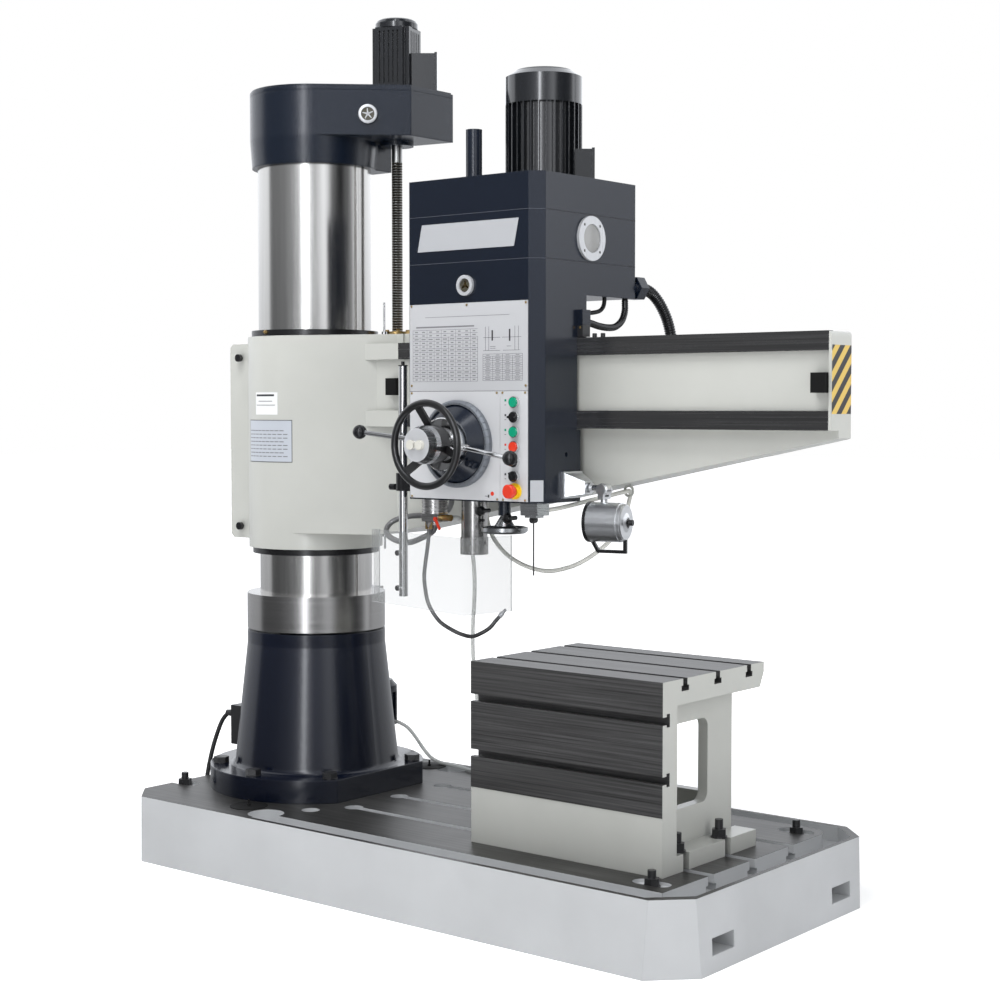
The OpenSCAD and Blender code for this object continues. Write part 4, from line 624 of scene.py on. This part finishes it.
def makeCable(v):
    line = smoothLine(v["route"], 8)[:-1] + coilLine(v)
    line = even(line, 0.011)
    obj = tube("powerCable", line, v["diameter"] / 2, cableSkin, "base")
    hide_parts("power_cable", "power_cable_coil")
    relief = Shape()
    relief.turned(v["route"][0], (-1, 0, 0), v["relief"], 20)
    relief.make("cableRelief", "base", [cableSkin], smooth=40)


# A hanging hose; ribs is the share of the radius between its ribs
def makeHose(name, points, diameter, material, body,
             gap=0.006, sides=14, ribs=None, tip=None):
    line = even(smoothLine(points, 10), gap)
    radius = diameter / 2
    if ribs:
        radius = lambda i, n: diameter / 2 * (ribs if i % 2 or i < 2 or i > n - 3 else 1)
    obj = tube(name, line, radius, material, body, sides)
    return obj


def nozzleTip(points, v):
    end = Vector(points[-1])
    shape = Shape()
    shape.turned(end, end - Vector(points[-2]), v["profile"], 20)
    return shape.make("nozzleTip", "head", [plateSilver], smooth=40)


hoseValues = {
    "clear": mm([
        (-47, 405, 330), (-34, 405, 330), (-14, 406, 328), (18, 410, 314), (44, 418, 286),
        (66, 430, 250), (92, 440, 220), (130, 444, 206), (190, 438, 204), (260, 422, 204),
        (335, 390, 204), (410, 345, 204), (478, 284, 208), (534, 218, 228), (574, 152, 274),
        (600, 104, 350), (610, 70, 450), (614, 48, 560), (625, 22, 660), (650, -8, 745),
        (680, -38, 817), (708, -70, 890), (730, -104, 960), (743, -136, 1020), (746, -168, 1060),
        (746, -190, 1072), (746, -205, 1074), (746, -218, 1074)]),
    "nozzle": mm([
        (674, -230, 1040), (674, -230, 1030), (672, -230, 1012), (668, -230, 985), (660, -229, 945),
        (654, -228, 905), (656, -226, 870), (664, -225, 835), (682, -225, 806), (712, -226, 779),
        (755, -232, 763), (800, -240, 753), (837, -238, 749), (860, -226, 758), (877, -208, 773),
        (888, -195, 792), (902, -188, 810)]),
    "feed": mm([
        (674, -206, 1050), (674, -206, 1041), (670, -207, 1033), (658, -209, 1024),
        (640, -209, 1016), (613, -206, 1006), (585, -199, 998), (557, -190, 994), (529, -181, 993),
        (500, -174, 996), (474, -166, 1001), (450, -156, 1008), (431, -143, 1019), (425, -128, 1034),
        (438, -112, 1050), (480, -98, 1062), (524, -91, 1066), (568, -88, 1068),
        (606, -92, 1074), (636, -102, 1088), (652, -108, 1106), (656, -110, 1120), (656, -110, 1126)]),
    "guide": mm([
        (1068, -200, 1106), (1068, -188, 1106), (1070, -168, 1107), (1078, -138, 1111),
        (1094, -108, 1118), (1118, -82, 1127), (1144, -58, 1136), (1166, -36, 1143), (1179, -12, 1149),
        (1185, 8, 1152), (1185, 20, 1153), (1180, 34, 1150), (1173, 45, 1141), (1164, 52, 1125),
        (1156, 54, 1103), (1148, 50, 1076), (1139, 40, 1048), (1127, 22, 1019), (1106, -12, 986),
        (1078, -50, 957), (1035, -66, 938), (985, -80, 928), (935, -92, 934),
        (890, -103, 951), (850, -113, 978), (818, -121, 1018), (802, -125, 1062), (798, -126, 1098),
        (798, -126, 1114), (798, -126, 1126)]),
    "conduit": mm([
        (1075, 225, 1720), (1075, 242, 1720), (1076, 262, 1718), (1082, 288, 1704),
        (1094, 310, 1672), (1108, 324, 1625), (1118, 330, 1565), (1122, 332, 1500),
        (1117, 330, 1430), (1100, 324, 1365), (1066, 314, 1308), (1018, 300, 1268),
        (962, 284, 1248), (908, 268, 1244), (862, 250, 1252), (828, 230, 1270),
        (808, 206, 1290), (801, 184, 1300), (800, 166, 1302), (800, 150, 1302)]),
    "loop": mm([
        (1078, 150, 1688), (1078, 150, 1676), (1080, 146, 1652), (1083, 128, 1626),
        (1084, 96, 1608), (1083, 60, 1604), (1081, 20, 1607), (1080, -14, 1613),
        (1080, -42, 1616), (1080, -56, 1616)]),
    "thin": mm([
        (1050, 90, 1688), (1050, 90, 1680), (1050, 84, 1664), (1051, 66, 1652), (1052, 36, 1646),
        (1052, 0, 1643), (1052, -44, 1642), (1052, -56, 1642)]),
}

makeCable(cableValues)
clear = makeHose("clearHose", hoseValues["clear"], 0.012, clearHose, "base")
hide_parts("coolant_hose")
tipValues = {
    "profile": [(0.0068, -0.006), (0.0068, 0.004), (0.0048, 0.008), (0.0036, 0.020), (0.0024, 0.020)],
}
nozzle = makeHose("nozzleHose", hoseValues["nozzle"], 0.012, braid, "head",
                  gap=0.0028, ribs=0.86,
                  tip=[nozzleTip(hoseValues["nozzle"], tipValues)])
makeHose("feedHose", hoseValues["feed"], 0.017, braid, "head", gap=0.0028, ribs=0.9)
makeHose("loopHose", hoseValues["loop"], 0.020, blackPlastic, "head", gap=0.0032,
         ribs=0.84)
makeHose("thinHose", hoseValues["thin"], 0.012, cableSkin, "head")
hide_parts("head_hoses")
guide = makeHose("guideHose", hoseValues["guide"], 0.012, paleHose, "head")
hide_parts("guide_hose")
conduit = makeHose("headConduit", hoseValues["conduit"], 0.034, blackPlastic, "arm",
                   gap=0.0036, ribs=0.86, sides=20)
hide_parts("head_conduit")
print("stage: cords made")

# Printing, screws and bare plates on the head
plateFront = -0.274
headValues = {
    "tables": [
        {"at": (0.655, 0.8895, 1.4535, 1.5955), "rows": 14, "cols": 9, "head": 2},
        {"at": (0.908, 1.0445, 1.4545, 1.526), "rows": 12, "cols": 4, "head": 1},
    ],
    "screws": [(0.650, 1.663), (0.8505, 1.661), (1.0555, 1.661), (0.650, 1.4425), (1.0555, 1.4405),
               (0.650, 1.4215), (0.956, 1.4215), (0.976, 1.4215), (1.0535, 1.4215), (0.650, 1.134),
               (0.9575, 1.134), (0.978, 1.134), (1.0535, 1.134)],
    "seams": (1.778, 1.908),
    "titles": [(0.667, 1.6015, 0.21, 0.004), (0.7, 1.630, 0.30, 0.0012)],
    "uprights": (0.916, 0.928, 1.018, 1.030),
    "levels": [(0.909, 0.968, 1.570), (0.975, 1.040, 1.570), (0.909, 0.968, 1.535),
               (0.978, 1.036, 1.535), (0.933, 0.952, 1.546), (0.990, 1.006, 1.546),
               (0.933, 0.952, 1.541)],
    "bars": [(0.938, 0.943, 1.562, 1.590), (0.998, 1.003, 1.560, 1.592)],
    "buttonMarks": [(6, 2), (5, 0), (4, 2), (3, 3), (2, 3), (1, 0), (0, 3)],
    "arrow": [(0.915, 0.930, 1.141, 1.1425), (0.925, 0.930, 1.138, 1.146)],
    "dot": (0.9405, 1.149), "dotRadius": 0.006,
    "line": 0.0007, "drawnLine": 0.0009, "lift": 0.0002, "seam": 0.0008,
    "chamfer": ((1.063, -0.272, 0), (1.095, -0.240, 0)),
    "nameplate": [(0.672, 1.812), (1.014, 1.812), (1.030, 1.886), (0.688, 1.886)],
    "cornerPlate": {"ends": ((1.0665, -0.2685, 0), (1.0915, -0.2435, 0)), "z": (1.131, 1.188)},
}


# Generic tables and marks, with no words
def makePrinting(v):
    shape = Shape()
    line, drawn, lift = v["line"], v["drawnLine"], v["lift"]

    def mark(x0, x1, z0, z1, k=0):
        shape.block((x0, plateFront - lift, z0), (x1, plateFront, z1), k)

    for n, table in enumerate(v["tables"]):
        x0, x1, z0, z1 = table["at"]
        high = (z1 - z0) / table["rows"]
        wide = (x1 - x0) / table["cols"]
        for r in range(table["rows"] + 1):
            mark(x0, x1, z0 + r * high - line / 2, z0 + r * high + line / 2)
        for c in range(table["cols"] + 1):
            x = x0 + c * wide
            mark(x - line / 2, x + line / 2, z0, z1 - table["head"] * high * (c % 2))
        for r in range(table["rows"]):
            for c in range(table["cols"]):
                length = wide * (0.32 + 0.28 * math.sin(7.3 * r + 3.1 * c + n) ** 2)
                middle = x0 + (c + 0.5) * wide
                level = z0 + (r + 0.5) * high
                mark(middle - length / 2, middle + length / 2, level - high * 0.14, level + high * 0.14, 1)
    for x, z, w, h in v["titles"]:
        mark(x, x + w, z, z + h, 1)
    for x in v["uprights"]:
        mark(x, x + drawn, 1.5355, 1.600)
    for x0, x1, z in v["levels"]:
        mark(x0, x1, z, z + drawn)
    for bar in v["bars"]:
        mark(*bar)
    for row, k in v["buttonMarks"]:
        z = buttonRows[row]
        mark(panelX - 0.037, panelX - 0.031, z + 0.002, z + 0.008, k)
        mark(panelX - 0.037, panelX - 0.0315, z - 0.008, z - 0.0065, 0)
    for bar in v["arrow"]:
        mark(*bar)
    x, z = v["dot"]
    shape.turned((x, plateFront, z), (0, -1, 0), [(v["dotRadius"], 0), (v["dotRadius"], lift)], 20, 3)
    shape.make("platePrinting", "head", [ink, greyInk, greenPlastic, redPlastic])


def makeHeadPlates(v):
    screws = Shape()
    for x, z in v["screws"]:
        screws.turned((x, plateFront, z), (0, -1, 0), [(0.0034, 0), (0.0032, 0.0011), (0.0016, 0.0018)], 16)
    screws.make("plateScrews", "head", [brassMetal], smooth=40)
    seams = Shape()
    half = v["seam"]
    a, b = (Vector(c) for c in v["chamfer"])
    out = Vector((1, -1, 0)).normalized() * 0.0004
    for z in v["seams"]:
        seams.block((0.640, -0.2724, z - half), (1.063, -0.2716, z + half))
        seams.block((1.0946, -0.240, z - half), (1.0954, 0.175, z + half), 1)
        seams.block((0.6396, -0.2720, z - half), (0.6404, 0.175, z + half), 1)
        seams.slab([a - out, b - out, b + out, a + out], (0, 0, z - half), (0, 0, z + half))
    seams.make("headSeams", "head", [seamGrey, ink])
    plates = Shape()
    plates.slab([Vector((x, 0, z)) for x, z in v["nameplate"]], (0, -0.2732, 0), (0, -0.2720, 0))
    a, b = (Vector(c) for c in v["cornerPlate"]["ends"])
    out = Vector((1, -1, 0)).normalized() * 0.0008
    low, high = v["cornerPlate"]["z"]
    plates.slab([a, b, b + out, a + out], (0, 0, low), (0, 0, high))
    plates.make("barePlates", "head", [plateSilver])


# The oil glass on the head's front and the round window on its side
def makeSights(v):
    shape = Shape()
    at = Vector(v["glass"])
    shape.turned(at, (0, -1, 0), [(0.0188, 0), (0.0188, 0.0008)], 32, 0)
    for k in range(3):
        a = math.radians(90 + 120 * k)
        tip = at + Vector((math.cos(a) * 0.013, -0.0010, math.sin(a) * 0.013))
        side = Vector((-math.sin(a), 0, math.cos(a))) * 0.004
        root = at + Vector((0, -0.0010, 0))
        deep = Vector((0, 0.0004, 0))
        shape.slab([root - side, root + side, tip + side * 0.6, tip - side * 0.6], (0, 0, 0), deep, 1)
    x, y, z = v["window"]
    shape.turned((x, y, z), (1, 0, 0), [(0.0386, 0), (0.0386, 0.0006), (0.030, 0.0012)], 48, 2)
    for k in range(4):
        a = math.radians(45 + 90 * k)
        ring = v["screwRing"]
        socketScrew(shape, (x + 0.0008, y + ring * math.cos(a), z + ring * math.sin(a)), (1, 0, 0),
                    0.0052, 3, 0)
    shape.make("sightGlasses", "head", [oilGlass, brassMetal, frosted, satinBlack], smooth=40)


# Oil glass on the cap's slanting front
def makeCapSight(v):
    at, way = Vector(v["at"]), Vector(v["way"]).normalized()
    shape = Shape()
    shape.turned(at, way, v["rim"], 40, 0)
    shape.turned(at + way * 0.002, way, [(0.0199, 0), (0.0199, 0.0006)], 40, 1)
    across = way.cross(Vector((0, 0, 1)))
    for k in range(v["arms"]):
        a = math.radians(360 / v["arms"] * k + 12)
        out = across * math.cos(a) + Vector((0, 0, 1)) * math.sin(a)
        side = (across * -math.sin(a) + Vector((0, 0, 1)) * math.cos(a)) * 0.0028
        p, q = at + way * 0.0029, at + way * 0.0029 + out * 0.0165
        deep = way * -0.0004
        shape.slab([p - side, p + side, q + side * 0.4, q - side * 0.4], (0, 0, 0), deep, 2)
    shape.make("capSight", "column", [brightAlu, oilGlass, plateSilver], smooth=40)


def makeDialMarks(v):
    shape = Shape()
    centre = Vector((hubAxis[0], v["front"], hubAxis[1]))
    for k in range(v["marks"]):
        a = math.radians(360 / v["marks"] * k)
        out = Vector((math.cos(a), 0, math.sin(a)))
        side = Vector((-math.sin(a), 0, math.cos(a))) * 0.0004
        near, far = v["short"] if k % 2 else v["long"]
        p, q = centre + out * near, centre + out * far
        shape.slab([p - side, p + side, q + side, q - side], (0, 0, 0), (0, -0.0002, 0))
    shape.make("dialMarks", "head", [ink])


underValues = {
    "knobs": [(0.869, -0.230, 1.098), (0.9635, -0.230, 1.081)],
    "knob": [(0.006, -0.030), (0.006, 0.0), (0.013, 0.002), (0.0135, 0.008), (0.012, 0.017),
             (0.005, 0.020)],
    "pin": (0.8625, -0.2295, 1.072),
    "wheel": (0.948, -0.230, 1.0545),
    "cone": [(0.0355, 0.0002), (0.030, 0.005), (0.027, 0.005), (0.024, 0.012), (0.021, 0.012),
             (0.0175, 0.019), (0.0125, 0.0195)],
}


# Knobs beside the quill and the fine wheel's stepped cone
def makeUnderHead(v):
    knobs = Shape()
    for at in v["knobs"]:
        knobs.turned(at, (0, -1, 0), v["knob"], 20)
    knobs.turned(v["pin"], (1, 0, 0), [(0.004, 0), (0.004, 0.012)], 12)
    knobs.make("underKnobs", "head", [blackPlastic], smooth=40)
    cone = Shape()
    cone.turned(v["wheel"], (0, 0, 1), v["cone"], 36)
    cone.make("fineWheelCone", "fine_wheel", [blackPlastic], smooth=30)


sleeveValues = {
    "radius": 0.209, "lift": 0.0006,
    "label": {"from": -105.5, "to": -78.5, "z": (1.360, 1.428)},
    "notice": {"from": -118.5, "to": -65.0, "z": (1.215, 1.344), "edge": 0.5},
    "labelLines": [(-104, -82, 0.012, 0.006, 2), (-101, -84, 0.028, 0.0022, 3),
                   (-104, -81, 0.040, 0.0022, 3)],
}


# Bare label and ruled notice on the sleeve, bent to its curve
def makeSleevePlates(v):
    shape = Shape()

    def bent(a0, a1, z0, z1, r0, r1, k):
        steps = max(2, round((a1 - a0) / 3))
        verts, faces = [], []
        for i in range(steps + 1):
            a = math.radians(a0 + (a1 - a0) * i / steps)
            for r, z in ((r0, z0), (r1, z0), (r1, z1), (r0, z1)):
                verts.append((r * math.cos(a), r * math.sin(a), z))
        for i in range(steps):
            for j in range(4):
                n = (j + 1) % 4
                faces.append((4 * i + j, 4 * i + n, 4 * i + 4 + n, 4 * i + 4 + j))
        faces += [(0, 3, 2, 1), tuple(4 * steps + j for j in range(4))]
        shape.add(verts, faces, k)

    r0 = v["radius"] - 0.0005
    r1 = v["radius"] + v["lift"]
    label, notice = v["label"], v["notice"]
    bent(label["from"], label["to"], *label["z"], r0, r1, 0)
    bent(notice["from"], notice["to"], *notice["z"], r0, r1, 2)
    edge = notice["edge"]
    bent(notice["from"] + edge, notice["to"] - edge, notice["z"][0] + 0.002, notice["z"][1] - 0.002,
         r1 - 0.0001, r1 + 0.0001, 1)
    for k in range(8):
        z = notice["z"][1] - 0.034 - 0.0112 * k
        end = notice["to"] - (3 if k % 3 else 7)
        for j in range(9):
            a = notice["from"] + 2.2 + j * (end - notice["from"] - 2.2) / 9
            bent(a, a + 4.2, z, z + 0.0026, r1, r1 + 0.0002, 3)
    for a, b, down, high, k in v["labelLines"]:
        z = label["z"][1] - down
        bent(a, b, z, z + high, r1, r1 + 0.0002, k)
    shape.make("sleevePlates", "arm", [paperWhite, silverSheet, ink, greyInk], smooth=30)


def makeNipple(v):
    shape = Shape()
    a = math.radians(v["azimuth"])
    at = Vector((v["radius"] * math.cos(a), v["radius"] * math.sin(a), v["z"]))
    shape.turned(at, (math.cos(a), math.sin(a), v["rise"]), v["profile"], 12)
    shape.make("greaseNipple", "arm", [brassMetal], smooth=30)


# Covers over the sump's two filling holes
def makeSumpCovers(v):
    shape = Shape()
    for x, y in v["places"]:
        shape.turned((x, y, 0.1968), (0, 0, 1), v["lid"], 40)
        shape.turned((x, y, 0.199), (0, 0, 1), v["stud"], 12)
    shape.make("sumpCovers", "base", [rubber], smooth=40)


# Switch block beside the head and two studs on the arm
def makeSideBlock(v):
    shape = Shape()
    shape.block(*v["upper"])
    shape.block(*v["lower"], 1)
    shape.turned((1.104, -0.0975, 1.599), (0, -1, 0), [(0.0035, 0), (0.003, 0.0015)], 12, 2)
    shape.make("sideBlock", "head", [darkPaint, satinBlack, brassMetal])
    bolts = Shape()
    for x in v["studs"]:
        bolts.turned((x, -0.044, 1.5640), (0, 0, 1), [(0.0065, 0), (0.0065, 0.0195), (0.0055, 0.0205)], 16)
    bolts.make("armScrews", "arm", [satinBlack], smooth=40)


makeSumpCovers({
    "places": [(0.094, -0.384), (0.112, 0.411)],
    "lid": [(0.056, 0), (0.056, 0.0018), (0.054, 0.0024)],
    "stud": [(0.006, 0), (0.006, 0.004), (0.003, 0.005), (0.003, 0.018)],
})
makeSideBlock({
    "upper": ((1.0945, -0.096, 1.6055), (1.1115, -0.060, 1.6475)),
    "lower": ((1.0945, -0.098, 1.5740), (1.1130, -0.064, 1.6050)), "studs": (1.114, 1.142),
})
makeSleevePlates(sleeveValues)
makeNipple({
    "azimuth": -94.2, "radius": 0.1965, "z": 1.6115, "rise": 0.15,
    "profile": [(0.0065, -0.002), (0.0065, 0.004), (0.004, 0.005), (0.004, 0.009), (0.0025, 0.011)],
})
makePrinting(headValues)
makeHeadPlates(headValues)
makeSights({
    "glass": (0.847, -0.2755, 1.714), "window": (1.0984, -0.040, 1.843), "screwRing": 0.05,
})
makeCapSight({
    "at": (0.262, -0.0355, 2.265), "way": (0.688, -0.7256, 0), "arms": 5,
    "rim": [(0.0285, -0.002), (0.0285, 0.003), (0.0265, 0.0045), (0.0205, 0.0045), (0.0200, 0.002)],
})
makeDialMarks({
    "front": -0.2921, "marks": 72, "short": (0.1090, 0.1112), "long": (0.1084, 0.1138),
})
makeUnderHead(underValues)
print("stage: head details made")

# World and lights
lightValues = {
    "keyLight": {"at": (2.2, -4.4, 4.4), "to": (0.6, 0, 1.2), "size": (2.2, 2.2), "power": 70},
    "rightLight": {"at": (5.2, -0.6, 2.8), "to": (0.8, 0, 1.1), "size": (1.6, 2.6), "power": 62},
    "leftLight": {"at": (-3.6, -3.0, 2.8), "to": (0.2, 0, 1.2), "size": (1.2, 3.0), "power": 34},
    "topLight": {"at": (0.6, -1.9, 5.2), "to": (0.7, 0, 1.0), "size": (3.2, 1.6), "power": 165},
    "backLight": {"at": (-1.2, 4.6, 3.0), "to": (0.5, 0, 1.3), "size": (3.0, 2.2), "power": 30},
}


def aim(obj, target):
    way = Vector(target) - obj.location
    obj.rotation_euler = way.to_track_quat("-Z", "Y").to_euler()


def makeLights(values):
    for name, v in values.items():
        data = bpy.data.lights.new(name, "AREA")
        data.shape = "RECTANGLE"
        data.size, data.size_y = v["size"]
        data.energy = v["power"]
        obj = bpy.data.objects.new(name, data)
        obj.location = v["at"]
        obj.visible_glossy = False
        bpy.context.scene.collection.objects.link(obj)
        aim(obj, v["to"])


# What the metal mirrors: strips of light and dark round the object, by azimuth in degrees, and
# how much lighter they get with height
worldValues = {
    "fill": 0.42, "tint": (0.80, 0.83, 0.88),
    "strips": [
        (-180, 0.80), (-152, 0.80), (-147, 0.14), (-143, 0.15), (-108, 0.19), (-86, 0.36), (-75, 0.60),
        (-69, 1.3), (-65.5, 7.0), (-63.5, 7.0), (-59.5, 1.1), (-50, 0.45), (-40, 0.55), (-32, 0.9),
        (-24, 1.1), (-16, 0.6), (-10, 0.12), (15, 0.07), (28, 0.12), (38, 0.30), (45, 1.1), (52, 1.2),
        (55, 0.2), (60, 0.85), (135, 0.80), (180, 0.80),
    ],
    "heights": [(-1.0, 0.9), (-0.5, 0.75), (-0.20, 0.45), (-0.05, 0.85), (0.0, 1.0), (0.12, 1.7),
                (0.4, 1.6), (1.0, 1.2)],
    "stripTop": 8.0, "heightTop": 2.0, "mirrored": (0.93, 0.955, 1.0),
}


# A curve through the stops, as shares of the brightest
def worldRamp(t, value, low, high, stops, bright):
    spread = t.nodes.new("ShaderNodeMapRange")
    spread.inputs["From Min"].default_value = low
    spread.inputs["From Max"].default_value = high
    link(t, value, spread.inputs["Value"])
    n = t.nodes.new("ShaderNodeFloatCurve")
    curve = n.mapping.curves[0]
    for k, (at, level) in enumerate(stops):
        x, y = (at - low) / (high - low), level / bright
        if k < 2:
            curve.points[k].location = (x if k else 0.0, y)
        else:
            curve.points.new(x, y)
    for point in curve.points:
        point.handle_type = "VECTOR"
    n.mapping.update()
    link(t, spread.outputs[0], n.inputs["Value"])
    return n.outputs[0]


def makeWorld(v):
    world = bpy.data.worlds.new("studio")
    bpy.context.scene.world = world
    world.use_nodes = True
    t = world.node_tree
    dim = t.nodes["Background"]
    dim.inputs["Color"].default_value = (*v["tint"], 1)
    dim.inputs["Strength"].default_value = v["fill"]
    place = t.nodes.new("ShaderNodeTexCoord")
    parts = t.nodes.new("ShaderNodeSeparateXYZ")
    link(t, place.outputs["Generated"], parts.inputs["Vector"])
    angle = t.nodes.new("ShaderNodeMath")
    angle.operation = "ARCTAN2"
    link(t, parts.outputs["Y"], angle.inputs[0])
    link(t, parts.outputs["X"], angle.inputs[1])
    degrees = t.nodes.new("ShaderNodeMath")
    degrees.operation = "DEGREES"
    link(t, angle.outputs[0], degrees.inputs[0])
    strips = worldRamp(t, degrees.outputs[0], -180, 180, v["strips"], v["stripTop"])
    heights = worldRamp(t, parts.outputs["Z"], -1, 1, v["heights"], v["heightTop"])
    level = t.nodes.new("ShaderNodeMath")
    level.operation = "MULTIPLY"
    link(t, strips, level.inputs[0])
    link(t, heights, level.inputs[1])
    scaled = t.nodes.new("ShaderNodeMath")
    scaled.operation = "MULTIPLY"
    link(t, level.outputs[0], scaled.inputs[0])
    scaled.inputs[1].default_value = v["stripTop"] * v["heightTop"]
    mirrored = t.nodes.new("ShaderNodeBackground")
    mirrored.inputs["Color"].default_value = (*v["mirrored"], 1)
    link(t, scaled.outputs[0], mirrored.inputs["Strength"])
    white = t.nodes.new("ShaderNodeBackground")
    white.inputs["Color"].default_value = (1, 1, 1, 1)
    rays = t.nodes.new("ShaderNodeLightPath")
    clear = t.nodes.new("ShaderNodeMath")
    clear.operation = "MAXIMUM"
    link(t, rays.outputs["Is Camera Ray"], clear.inputs[0])
    link(t, rays.outputs["Is Transmission Ray"], clear.inputs[1])
    result = dim.outputs[0]
    for test, shader in ((rays.outputs["Is Glossy Ray"], mirrored), (clear.outputs[0], white)):
        mix = t.nodes.new("ShaderNodeMixShader")
        link(t, test, mix.inputs[0])
        link(t, result, mix.inputs[1])
        link(t, shader.outputs[0], mix.inputs[2])
        result = mix.outputs[0]
    link(t, result, t.nodes["World Output"].inputs["Surface"])


# The floor glows the more the farther it lies from the object, so it is white up to the horizon
def makeFloor(v):
    shape = Shape()
    half = v["half"]
    shape.block((-half, -half, -0.02), (half, half, 0))
    m = newMaterial("floorMaterial", (0.80, 0.80, 0.80), 0.9, specular=0.0)
    t = m.node_tree
    place = t.nodes.new("ShaderNodeVectorMath")
    place.operation = "SUBTRACT"
    link(t, objectCoords(m), place.inputs[0])
    place.inputs[1].default_value = v["middle"]
    away = t.nodes.new("ShaderNodeVectorMath")
    away.operation = "LENGTH"
    link(t, place.outputs[0], away.inputs[0])
    glow = t.nodes.new("ShaderNodeMapRange")
    glow.inputs["From Min"].default_value, glow.inputs["From Max"].default_value = v["reach"]
    glow.inputs["To Min"].default_value, glow.inputs["To Max"].default_value = v["glow"]
    link(t, away.outputs["Value"], glow.inputs["Value"])
    shaderOf(m).inputs["Emission Color"].default_value = (1, 1, 1, 1)
    link(t, glow.outputs[0], shaderOf(m).inputs["Emission Strength"])
    mesh = bpy.data.meshes.new("floor")
    mesh.from_pydata([tuple(c) for c in shape.verts], [], shape.faces)
    obj = bpy.data.objects.new("floor", mesh)
    mesh.materials.append(m)
    bpy.context.scene.collection.objects.link(obj)
    obj.visible_glossy = False


makeWorld(worldValues)
makeLights(lightValues)
makeFloor({"half": 40, "middle": (0.85, 0, 0), "reach": (1.4, 3.0), "glow": (0.50, 1.0)})
bpy.context.scene.view_settings.view_transform = "Standard"
print("stage: light made")
